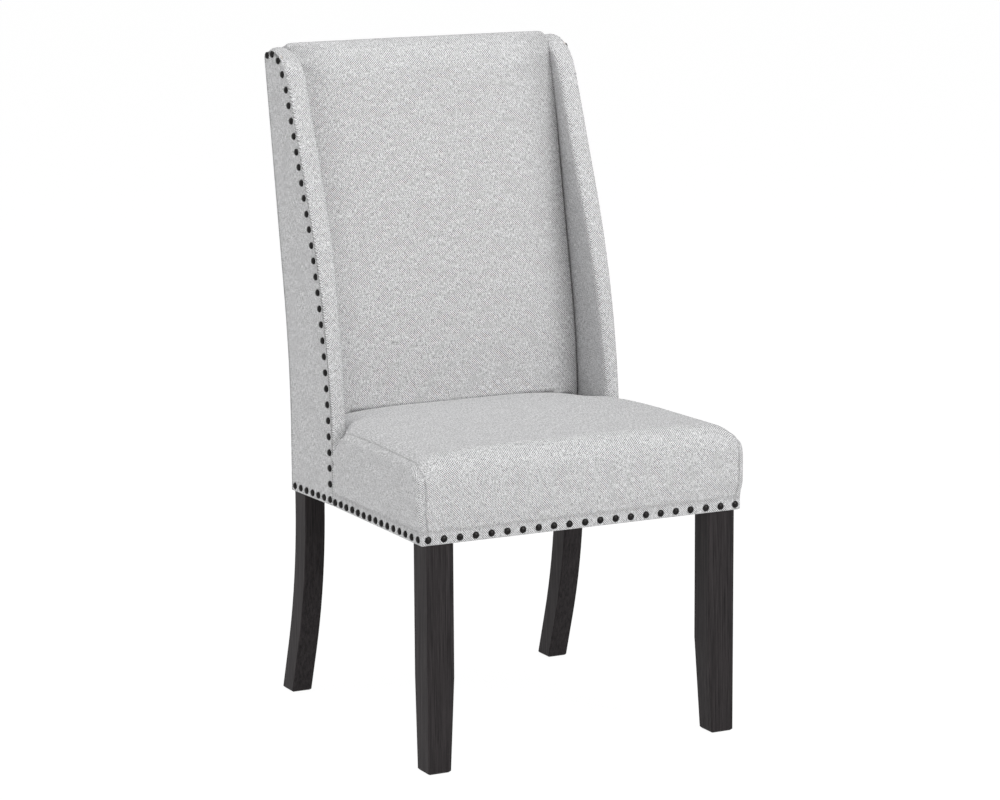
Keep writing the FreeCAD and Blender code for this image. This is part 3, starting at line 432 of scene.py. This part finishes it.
# Seat: one panel runs up the front and over the top, with boxed sides sewn to it
seat = {
    "cells": (64, 52, 24),
    "closer": (0.7, 0.62, 0.55),
    "front": 7.0,
    "rear": 455.4,
    "halfFront": 269.2,
    "taper": 17.5,
    "betweenWings": 226.6,
    "wingFront": 346.4,       # the seat ends here against the wing band
    "panelFront": 354.4,      # and here below the wing, against the outside panel
    "wingFoot": 419.0,
    "hemRow": 5,              # lattice row at the top of the nailed hem
    "hem": 20.0,
    "top": 481.5,
    "crown": 10.5,
    "rearFall": 14.6,
    "rearSides": 4.0,         # and falls further beside the wings
    "fallFrom": 190.0,
    "noseReach": 36.0,
    "noseDrop": 44.0,
    "cornerFrom": 306.0,      # the sides drop away towards the wings
    "cornerDrop": 29.0,
    "cornerShare": 0.885,
    "topRound": (28.0, 21.0),
    "frontRound": 4.5,        # at the hem
    "frontSoft": 8.0,         # and more above it
    "frontSeam": 4,           # lattice column of the seam on the front face
    "frontPuff": 3.6,
    "sidePuff": 6.2,
    "flatReach": 75.0,        # the side lies flat where it meets the outside panel
    "flatTop": 398.0,         # below the foot of the wing
    "flatRise": 26.0,
    "snap": 8.0,              # a lattice line is drawn on to the end of the seat side
    "snapShare": 0.8,
    "wingTurn": 7.0,
    "notchTurn": 5.0,
    "puffRise": 26.0,         # the cover is full this far above the hem
    "frontPuffReach": 60.0,
    "sidePuffReach": 40.0,
    "sidePuffDrop": 18.0,
    "creaseShade": (0.45, 1.0),  # painted shade in the seams and creases, darkest in the crease against the back
    "topSeamShade": 0.42,
    "frontSeamShade": 0.5,
    "frontSeamTurn": 6,
    "hemShade": 0.3,
    "frameHalf": 245.0,
    "frameFront": 24.0,
    "recess": 423.8,
    "pressure": 3.0,
    "cap": 5.0,
    "fill": 0.8,
}


def seatPlace(u, v, w, step):
    share = 2 * u - 1
    station = seat["front"] + v * (seat["rear"] - seat["front"])
    edge = edgeHeight(station)
    inWing = smooth((station - seat["wingFront"]) / seat["wingTurn"])
    corner = smooth((station - seat["cornerFrom"]) / (seat["wingFront"] - seat["cornerFrom"])) * (1 - inWing)
    corner *= max(0.0, (abs(share) - seat["cornerShare"]) / (1 - seat["cornerShare"]))
    top = seat["top"] - seat["crown"] * abs(share) ** 5 - seat["cornerDrop"] * corner
    fall = max(0.0, station - seat["fallFrom"]) / (seat["rear"] - seat["fallFrom"])
    top -= fall ** 2 * (seat["rearFall"] + seat["rearSides"] * abs(share) ** 4)
    hemShare = eased(seat["hemRow"] / seat["cells"][2], seat["closer"][2])
    if w <= hemShare:
        height = edge + seat["hem"] * w / hemShare
    else:
        height = edge + seat["hem"] + (w - hemShare) / (1 - hemShare) * (top - edge - seat["hem"])
    notch = seat["wingFront"] if height > seat["wingFoot"] else seat["panelFront"]
    if abs(station - notch) < seat["snap"] and abs(share) > seat["snapShare"]:
        station = notch
    half = seat["halfFront"] - seat["taper"] * min(station, notch) / seat["panelFront"]
    half += (seat["betweenWings"] - half) * smooth((station - notch) / seat["notchTurn"])
    puff = smooth((height - edge - seat["hem"]) / seat["puffRise"])
    side = half * (1 - abs(share))
    ahead = station - seat["front"]
    down = top - height
    if step[2] == 0 and half - side < seat["frameHalf"] and station > seat["frameFront"]:
        return atPlace(math.copysign(half - side, share), station, seat["recess"])
    side, down = rounded(side, down, *seat["topRound"])
    soft = seat["frontRound"] + seat["frontSoft"] * puff
    side, ahead = rounded(side, ahead, soft, soft)
    ahead, down = rounded(ahead, down, seat["noseReach"], seat["noseDrop"])
    ahead -= seat["frontPuff"] * puff * smooth(1 - ahead / seat["frontPuffReach"])
    full = max(smooth((seat["panelFront"] - station) / seat["flatReach"]),
               smooth((height - seat["flatTop"]) / seat["flatRise"]))
    full *= smooth(1 - side / seat["sidePuffReach"]) * smooth(down / seat["sidePuffDrop"]) * (1 - inWing)
    side -= seat["sidePuff"] * puff * full
    return atPlace(math.copysign(half - side, share), seat["front"] + ahead, top - down)


def seatHeld(step):
    across, behind, up = step
    acrossLast, behindLast, upLast = seat["cells"]
    station = seat["front"] + eased(behind / behindLast, seat["closer"][1]) * (seat["rear"] - seat["front"])
    if up <= seat["hemRow"] or behind == behindLast:
        return True
    return across in (0, acrossLast) and (up == upLast or behind == 0 or station > seat["wingFront"])


# painted shade along the seams and the hem, and in the crease where the seat meets the back
def seatPaintedShade(step):
    across, behind, up = step
    acrossLast, behindLast, upLast = seat["cells"]
    side = min(across, acrossLast - across)
    if up >= upLast - 1 and behind >= behindLast - 1:
        return seat["creaseShade"][behind - behindLast + 1]
    if up == upLast and side == 0:
        return seat["topSeamShade"]
    if behind == 0 and side == round(seat["frontSeam"] * min(1.0, (upLast - up) / seat["frontSeamTurn"])):
        return seat["frontSeamShade"]
    return seat["hemShade"] if up == seat["hemRow"] and (side == 0 or behind == 0) else 0.0


seatCushion, seatFast = padForm("seatCushion", seat["cells"], seat["closer"], seatPlace, seatHeld, seatPaintedShade)
swell(seatCushion, seatFast, seat["pressure"], seat["cap"])
finishPad(seatCushion, heatherWeave, ("seat_cover", "seat_foam"))
print("seat made")

# Inside back: a tight pad between the wings that rolls over the top rail
back = {
    "cells": (48, 12, 64),
    "closer": (0.75, 0.3, 0.5),
    "half": 226.2,
    "wider": 0.8,             # further across at the seat, where the wings are slimmer
    "foot": 424.0,
    "crest": 1032.9,
    "front": 452.5,
    "crown": 7.5,
    "fuller": 6.0,            # the edges stand further forward at the seat
    "rollFront": 34.0,
    "rollRear": 32.0,
    "rollDrop": 21.0,
    "sideRound": 7.0,
    "endRound": (14.0, 4.0),  # across and down, at the ends of the roll
    "rearGap": 1.0,           # short of the back of the posts
    "restGap": 0.4,           # the pad rests this far ahead of the front of the posts
    "restTop": 1008.0,        # up to here, where it rolls over the top rail
    "seamDepth": 3,           # lattice rows back that the painted crease shade reaches
    "creaseRise": 4.0,
    "openFrom": 985.0,        # the crease opens out towards the crest
    "openReach": 35.0,
    "openShare": 0.8,
    # painted shade beside the wings: its strength and how far it reaches
    "shade": 0.28,
    "shadeReach": 78.0,
    "pressure": 2.5,
    "cap": 4.5,
    "fill": 0.9,
}


def backFront(share, height):
    low = back["fuller"] * lowerWings(height)
    return back["front"] - low - (back["crown"] - low) * (1 - abs(share) ** 3) + rake(height)


def backPlace(u, v, w, step):
    share = 2 * u - 1
    height = back["foot"] + w * (back["crest"] - back["foot"])
    half = back["half"] + back["wider"] * lowerWings(height)
    front = backFront(share, height)
    rear = chair["postRear"] - back["rearGap"] + rake(height)
    ahead = v * (rear - front)
    down = back["crest"] - height
    side = half * (1 - abs(share))
    if step[1] == back["cells"][1] and height < back["restTop"]:
        rest = chair["postFront"] - back["restGap"] + rake(height)
        return atPlace(math.copysign(half - side, share), rest, height)
    side, ahead = rounded(side, ahead, back["sideRound"], back["sideRound"])
    side, down = rounded(side, down, *back["endRound"])
    ahead, down = rounded(ahead, down, back["rollFront"], back["rollFront"])
    behind, down = rounded(rear - front - ahead, down, back["rollRear"], back["rollDrop"])
    height = back["crest"] - down
    front = backFront(share, height)
    return atPlace(math.copysign(half - side, share), front + (rear - front - behind), height)


def backHeld(step):
    return step[0] in (0, back["cells"][0]) or step[1] == back["cells"][1] or step[2] == 0


def backPaintedShade(step):  # painted shade: dark in the creases, and a soft painted shade beside the wings, where they would shade the back
    if step[1] > back["seamDepth"]:
        return 0.0
    across = eased(step[0] / back["cells"][0], back["closer"][0])
    height = back["foot"] + eased(step[2] / back["cells"][2], back["closer"][2]) * (back["crest"] - back["foot"])
    share = abs(2 * across - 1)
    seatLine = seat["top"] - seat["rearFall"] - seat["crown"] * share ** 5 - seat["rearSides"] * share ** 4
    if share == 1 or height < seatLine + back["creaseRise"]:
        return 1 - back["openShare"] * smooth((height - back["openFrom"]) / back["openReach"])
    return back["shade"] * smooth(1 - back["half"] * (1 - share) / back["shadeReach"])


insideBack, backFast = padForm("insideBack", back["cells"], back["closer"], backPlace, backHeld, backPaintedShade)
swell(insideBack, backFast, back["pressure"], back["cap"])
finishPad(insideBack, heatherWeave, ("inside_back_cover", "back_foam"))
print("inside back made")

# Wings: padding wraps the inner face, the front and the top of each board
wing = {
    "cells": (10, 30, 84),
    "closer": (0.4, 0.3, 0.3),
    "inner": 226.6,
    "outer": 251.8,
    "boardInner": 229.2,
    "foot": 419.0,
    "rear": 506.3,
    "band": 4.5,              # front of the wing to the seam of the outside panel
    "rise": 5.0,
    "bandColumn": 5,
    "topRow": 4,
    "cornerReach": 47.0,
    "cornerDrop": 45.0,
    "innerRound": 12.0,
    "outerRound": 11.0,
    "slimmer": 0.8,           # the wing is slimmer at the seat
    "roll": 8.0,              # its front edge rolls inwards
    "rollLess": 6.6,          # but less at the seat
    "rollReach": 75.0,
    "groove": 1.6,            # the seam of the outside panel draws the cover in
    "roundShare": 0.9,        # the edges are a little less deep than they are wide
    "seamTone": 0.6,          # painted shade just ahead of the seam
    "pressure": 2.0,
    "cap": 2.0,
    "fill": 0.85,
}


def wingCorner(ahead, height, width):  # the front corner at the top of the wing is round, the rear one eased
    ahead, down = rounded(ahead, chair["wingTop"] - height, wing["cornerReach"], wing["cornerDrop"])
    height = chair["wingTop"] - down
    rearShare = max(0.0, 1 - (width - ahead) / chair["rearReach"])
    drop = chair["rearDrop"] * rearShare ** 2 * smooth(1 - down / chair["rearDropReach"])
    return wingLine(height) + ahead, height - drop


def makeWing(name, sideSign, nodes):
    acrossLast, backLast, upLast = wing["cells"]
    bandShare = eased(wing["bandColumn"] / backLast, wing["closer"][1])
    topShare = eased(1 - wing["topRow"] / upLast, wing["closer"][2])

    def outsideBand(step):
        return step[1] > wing["bandColumn"] and step[2] < upLast - wing["topRow"]

    def onSeam(step):
        return (step[1] == wing["bandColumn"] and step[2] <= upLast - wing["topRow"]) or (
            step[2] == upLast - wing["topRow"] and step[1] >= wing["bandColumn"])

    def place(u, v, w, step):
        seamHeight = chair["wingTop"] - wing["rise"]
        if w < topShare:
            height = wing["foot"] + w / topShare * (seamHeight - wing["foot"])
        else:
            height = seamHeight + (w - topShare) / (1 - topShare) * wing["rise"]
        width = wing["rear"] + rake(height) - wingLine(height)
        if v < bandShare:
            ahead = wing["band"] * v / bandShare
        else:
            ahead = wing["band"] + (v - bandShare) / (1 - bandShare) * (width - wing["band"])
        down = chair["wingTop"] - height
        low = lowerWings(height)
        roll = (wing["roll"] - wing["rollLess"] * low) * smooth(1 - ahead / wing["rollReach"])
        inner = wing["inner"] + wing["slimmer"] * low - roll
        across = inner + u * (wing["outer"] - inner)
        near = min(ahead, down)
        for edge, inward, reach in ((inner, 1, wing["innerRound"]), (wing["outer"], -1, wing["outerRound"])):
            gap, moved = rounded((across - edge) * inward, near, reach, reach * wing["roundShare"])
            across = edge + gap * inward
            ahead, down = max(ahead, moved), max(down, moved)
        if step[0] == acrossLast and outsideBand(step):
            across = wing["boardInner"]
        elif step[0] == acrossLast and onSeam(step):
            across -= wing["groove"]
        station, height = wingCorner(ahead, chair["wingTop"] - down, width)
        return atPlace(sideSign * across, station, height)

    def held(step):
        return step[0] == acrossLast or step[1] == backLast or step[2] == 0

    # painted shade along the seam of the outside panel and just ahead of it
    def seam(step):
        if step[0] == acrossLast and onSeam(step):
            return 1.0
        return wing["seamTone"] if step[0] == acrossLast and step[1] == wing["bandColumn"] - 1 else 0.0

    piece, fast = padForm(name, wing["cells"], wing["closer"], place, held, seam)
    swell(piece, fast, wing["pressure"], wing["cap"])
    finishPad(piece, heatherWeave, nodes)
    return piece


makeWing("wingPadLeft", -1, ("wing_cover_left", "wing_foam_left"))
makeWing("wingPadRight", 1, ("wing_cover_right", "wing_foam_right"))
print("wings made")

# Outside panels: cloth over card, drawn flat and nailed along the front, the top and the foot
panel = {
    "cells": (2, 26, 72),
    "closer": (0.0, 0.75, 0.75),
    "inner": 247.7,
    "seamGap": 0.4,
    "edgeRound": 3.4,
    "edgeReach": 5.0,
    "rearRound": 1.2,
    "rearReach": 4.0,
    "seamTones": (1.0, 0.8, 0.35),  # painted shade row by row from the sewn edge
    "rear": 507.9,
    "pressure": 1.0,
    "cap": 1.4,
}


def makePanel(name, sideSign, nodes):
    acrossLast, backLast, upLast = panel["cells"]
    lead = wing["band"] + panel["seamGap"]
    lower = wing["rise"] + panel["seamGap"]

    def place(u, v, w, step):
        guess = chair["wingFront"] + lead + v * (panel["rear"] - chair["wingFront"] - lead)
        foot = edgeHeight(guess)
        height = foot + w * (chair["wingTop"] - lower - foot)
        width = panel["rear"] + rake(height) - wingLine(height)
        ahead = lead + v * (width - lead)
        down = chair["wingTop"] - height
        across = panel["inner"] + u * (chair["outside"] - panel["inner"])
        if step[0] == acrossLast:
            near = min(ahead - lead, down - lower)
            behind = min(width - ahead, height - foot)
            across -= panel["edgeRound"] * max(0.0, 1 - near / panel["edgeReach"]) ** 2
            across -= panel["rearRound"] * max(0.0, 1 - behind / panel["rearReach"]) ** 2
        station, height = wingCorner(ahead, chair["wingTop"] - down, width)
        return atPlace(sideSign * across, station, height)

    def held(step):
        return step[0] < acrossLast or step[1] in (0, backLast) or step[2] in (0, upLast)

    # painted shade along the sewn front and top edges
    def seam(step):
        near = min(step[1], upLast - step[2])
        return panel["seamTones"][near] if step[0] == acrossLast and near < len(panel["seamTones"]) else 0.0

    piece, fast = padForm(name, panel["cells"], panel["closer"], place, held, seam)
    swell(piece, fast, panel["pressure"], panel["cap"])
    finishPad(piece, heatherWeave, nodes)
    return piece


makePanel("outsidePanelLeft", -1, ("outside_panel_left",))
makePanel("outsidePanelRight", 1, ("outside_panel_right",))

# Outside back: one flat panel over the posts, turned under along its edges
outsideBack = {
    "cells": (40, 2, 60),
    "closer": (0.8, 0.0, 0.8),
    "front": 508.2,
    "rear": 510.8,
    "top": 1011.5,
    "foot": 335.7,
    "edgeRound": 2.2,
    "edgeReach": 5.0,
    "pressure": 1.0,
    "cap": 2.0,
}


def outsideBackPlace(u, v, w, step):
    height = outsideBack["foot"] + w * (outsideBack["top"] - outsideBack["foot"])
    across = (2 * u - 1) * chair["outside"]
    station = outsideBack["front"] + v * (outsideBack["rear"] - outsideBack["front"]) + rake(height)
    if step[1] == outsideBack["cells"][1]:
        near = min(chair["outside"] - abs(across), outsideBack["top"] - height, height - outsideBack["foot"])
        station -= outsideBack["edgeRound"] * max(0.0, 1 - near / outsideBack["edgeReach"]) ** 2
    return atPlace(across, station, height)


def outsideBackHeld(step):
    acrossLast, backLast, upLast = outsideBack["cells"]
    return step[1] < backLast or step[0] in (0, acrossLast) or step[2] in (0, upLast)


outsideBackPiece, outsideBackFast = padForm("outsideBack", outsideBack["cells"], outsideBack["closer"],
                                            outsideBackPlace, outsideBackHeld, lambda step: 0.0)
swell(outsideBackPiece, outsideBackFast, outsideBack["pressure"], outsideBack["cap"])
finishPad(outsideBackPiece, heatherWeave, ("outside_back_cover",))
print("outside panels and back made")

# Dust cover: lining cloth tacked under the rails, hanging a little in the middle
dust = {
    "half": 239.5,
    "front": 30.5,
    "rear": 500.0,
    "below": 1.0,
    "sag": 4.0,
    "cells": 40,
    "notchAcross": 206.0,     # it is cut round the legs and posts
    "notchFront": 64.0,
    "notchRear": 460.0,
}
dustForm = bmesh.new()
bmesh.ops.create_grid(dustForm, x_segments=dust["cells"], y_segments=dust["cells"], size=1.0)
for vert in dustForm.verts:
    a, b = vert.co.x, (vert.co.y + 1) / 2
    station = dust["front"] + b * (dust["rear"] - dust["front"])
    hang = dust["sag"] * (1 - a * a) * 4 * b * (1 - b)
    vert.co = atPlace(a * dust["half"], station, edgeHeight(station) - dust["below"] - hang)
corners = []
for face in dustForm.faces:
    centre = face.calc_center_median() * 1000
    station = centre.y + chair["middleStation"]
    if abs(centre.x) > dust["notchAcross"] and not dust["notchFront"] < station < dust["notchRear"]:
        corners.append(face)
bmesh.ops.delete(dustForm, geom=corners, context="FACES")
bmesh.ops.reverse_faces(dustForm, faces=dustForm.faces)
dustArea = sum(face.calc_area() for face in dustForm.faces)
dustMesh = bpy.data.meshes.new("dustCover")
dustForm.to_mesh(dustMesh)
dustForm.free()
dustCover = bpy.data.objects.new("dustCover", dustMesh)
scene.collection.objects.link(dustCover)
for polygon in dustMesh.polygons:
    polygon.use_smooth = True
finishPad(dustCover, blackLining, ("dust_cover",))
print("dust cover made")

# Nails: a low dome with a turned-down rim on each nail of the frame, no two set quite alike
nail = {
    "radius": 5.6,
    "height": 3.3,
    "tilt": math.radians(4),
    "stray": 0.35,
    "seed": 21,
    "segments": (14, 8),
    "rim": -0.01,             # in parts of the radius, as the collar is
    "collar": 0.25,
    "cornerShift": 4.0,       # at the top corner of a wing the row turns a little further in
    "cornerFrom": 965.0,
    "cornerRise": 30.0,
    "cornerReach": 45.0,
    "dropFrom": 950.0,        # and drops at the rear corner
    "dropRise": 50.0,
    "frontSunk": 1.6,         # how far each row is drawn into the padding
    "sideSunk": 0.4,
    "wingSunk": 2.0,
    "sideTurn": 0.045,        # the sides of the seat draw in towards the back
}
chance = random.Random(nail["seed"])


def islands(nodeName):
    source = bmesh.new()
    source.from_mesh(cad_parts[nodeName].data)
    bmesh.ops.remove_doubles(source, verts=source.verts, dist=1e-6)
    left = set(source.verts)
    centres = []
    while left:
        patch, waiting = [], [left.pop()]
        while waiting:
            vert = waiting.pop()
            patch.append(vert.co.copy())
            for edge in vert.link_edges:
                other = edge.other_vert(vert)
                if other in left:
                    left.remove(other)
                    waiting.append(other)
        low = Vector(min(co[i] for co in patch) for i in range(3))
        high = Vector(max(co[i] for co in patch) for i in range(3))
        centres.append((low + high) / 2)
    source.free()
    return sorted(centres, key=lambda centre: (round(centre.z, 4), round(centre.y, 4), centre.x))


def makeNails(name, nodeName, outward, sunk):
    form = bmesh.new()
    around, over = nail["segments"]
    outward = Vector(outward).normalized()
    for centre in islands(nodeName):
        lean = Vector((chance.uniform(-1, 1), chance.uniform(-1, 1), chance.uniform(-1, 1))) * nail["tilt"]
        turn = (outward + lean).to_track_quat("Z", "Y").to_matrix().to_4x4()
        stray = Vector((chance.uniform(-1, 1), chance.uniform(-1, 1), chance.uniform(-1, 1))) * nail["stray"] / 1000
        stray -= outward * stray.dot(outward)
        foot = centre + stray - outward * sunk / 1000
        if nodeName.startswith("wing"):  # the rows follow the eased corners at the top of the wing
            high = foot.z * 1000
            behind = panel["rear"] + rake(high) - foot.y * 1000 - chair["middleStation"]
            turned = max(0.0, 1 - behind / chair["rearReach"]) ** 2
            turned *= smooth((high - nail["dropFrom"]) / nail["dropRise"])
            inside = wingTip(high) + nail["cornerShift"] * smooth((high - nail["cornerFrom"]) / nail["cornerRise"])
            foot += Vector((0, inside * smooth(behind / nail["cornerReach"]), -chair["rearDrop"] * turned)) / 1000
        grow = nail["radius"] / 1000
        made = bmesh.ops.create_uvsphere(form, u_segments=around, v_segments=over, radius=1.0)["verts"]
        for vert in made:  # below the rim the ball closes into a short collar
            if vert.co.z > nail["rim"]:
                vert.co.z = vert.co.z * nail["height"] / nail["radius"]
            else:
                vert.co.z = max(vert.co.z, -nail["collar"])
        bmesh.ops.scale(form, verts=made, vec=(grow, grow, grow))
        bmesh.ops.transform(form, matrix=Matrix.Translation(foot) @ turn, verts=made)
    for face in form.faces:
        face.smooth = True
    mesh = bpy.data.meshes.new(name)
    form.to_mesh(mesh)
    form.free()
    piece = bpy.data.objects.new(name, mesh)
    scene.collection.objects.link(piece)
    mesh.materials.append(blackNails)
    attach(piece, "root")
    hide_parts(nodeName)


makeNails("seatFrontNails", "seat_front_nails", (0, -1, 0), nail["frontSunk"])
makeNails("seatSideNailsLeft", "seat_side_nails_left", (-1, nail["sideTurn"], 0), nail["sideSunk"])
makeNails("seatSideNailsRight", "seat_side_nails_right", (1, nail["sideTurn"], 0), nail["sideSunk"])
makeNails("wingNailsLeft", "wing_nails_left", (-1, 0, 0), nail["wingSunk"])
makeNails("wingNailsRight", "wing_nails_right", (1, 0, 0), nail["wingSunk"])
print("nails made")

# Finishes of the frame's own pieces that still show
for nodeName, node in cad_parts.items():
    if node.hide_render:
        continue
    low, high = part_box(nodeName)
    sizes = [high[i] - low[i] for i in range(3)]
    grainAlong = sizes.index(max(sizes))
    if nodeName.startswith(("front_leg", "rear_post")):
        finish = stainedLegs
    elif nodeName.startswith("leg_bolt"):
        finish = zincSteel
    elif nodeName == "leg_glides":
        finish = blackNylon
    elif "webbing" in nodeName:
        finish = juteWebbing
    else:
        finish = sawnFrame[grainAlong]
    node.data.materials.clear()
    node.data.materials.append(finish)
print("frame finishes set")

# Studio
studio = {
    "floorSize": 40.0,
    "floorColour": "#F4F4F4",
    "floorGlow": 0.9,
    "glowLevel": 1.08,
    "ambient": 0.26,
    "lamps": {                # place, size in metres and watts
        "overhead": (0.0, -0.8, 4.4, 3.0, 76.0),
        "frontRight": (1.5, -5.0, 2.8, 3.0, 135.0),
        "lowLeft": (-4.4, 0.5, 1.0, 2.0, 55.0),
    },
    "lampAim": (0.0, 0.0, 0.5),
    "camera": (-2.486, -4.8945, 1.525),
    "aim": (-0.0053, -0.0241, 0.4966),
    "roll": -0.32,
    "lens": 130.3,
    "sensor": 36.0,
}


def seenRays(tree):  # rays that show the white backdrop as itself
    ray = addNode(tree, "LightPath")
    seen = addNode(tree, "Math", {"operation": "MAXIMUM"},
                   {0: ray.outputs["Is Camera Ray"], 1: ray.outputs["Is Glossy Ray"]})
    return addNode(tree, "Math", {"operation": "MAXIMUM"},
                   {0: seen.outputs[0], 1: ray.outputs["Is Transmission Ray"]}).outputs[0]


floorForm = bmesh.new()
bmesh.ops.create_grid(floorForm, x_segments=4, y_segments=4, size=studio["floorSize"] / 2)
floorMesh = bpy.data.meshes.new("floor")
floorForm.to_mesh(floorMesh)
floorForm.free()
floor = bpy.data.objects.new("floor", floorMesh)
scene.collection.objects.link(floor)
floorPaper = bpy.data.materials.new("matt studio paper")
floorPaper.use_nodes = True
paper = floorPaper.node_tree
paper.nodes.clear()
plain = addNode(paper, "BsdfDiffuse", {"Color": linear(studio["floorColour"])})
glow = addNode(paper, "Emission", {"Color": linear("#FFFFFF"), "Strength": studio["glowLevel"]})
share = addNode(paper, "Math", {"operation": "MULTIPLY", 1: studio["floorGlow"]}, {0: seenRays(paper)})
paperMix = addNode(paper, "MixShader", links={0: share.outputs[0], 1: plain.outputs[0], 2: glow.outputs[0]})
addNode(paper, "OutputMaterial", links={"Surface": paperMix.outputs[0]})
floorMesh.materials.append(floorPaper)

world = bpy.data.worlds.new("studio")
scene.world = world
world.use_nodes = True
sky = world.node_tree
sky.nodes.clear()
level = addNode(sky, "MapRange", {"To Min": studio["ambient"], "To Max": 1.0}, {"Value": seenRays(sky)})
light = addNode(sky, "Background", {"Color": linear("#FFFFFF")}, {"Strength": level.outputs[0]})
addNode(sky, "OutputWorld", links={"Surface": light.outputs[0]})

for lampName, (x, y, z, size, watts) in studio["lamps"].items():
    lamp = bpy.data.lights.new(lampName, "AREA")
    lamp.shape = "SQUARE"
    lamp.size = size
    lamp.energy = watts
    lampObject = bpy.data.objects.new(lampName, lamp)
    lampObject.location = (x, y, z)
    toChair = Vector(studio["lampAim"]) - lampObject.location
    lampObject.rotation_euler = toChair.to_track_quat("-Z", "Y").to_euler()
    lampObject.visible_glossy = lampName != "lowLeft"  # which would leave a streak on the lacquer
    scene.collection.objects.link(lampObject)

camera = bpy.data.objects.new("camera", bpy.data.cameras.new("camera"))
camera.data.sensor_width = studio["sensor"]
camera.data.lens = studio["lens"]
camera.location = studio["camera"]
facing = (Vector(studio["aim"]) - camera.location).to_track_quat("-Z", "Y")
camera.rotation_euler = (facing @ Quaternion((0, 0, 1), math.radians(studio["roll"]))).to_euler()
scene.collection.objects.link(camera)
scene.camera = camera
print("studio set")
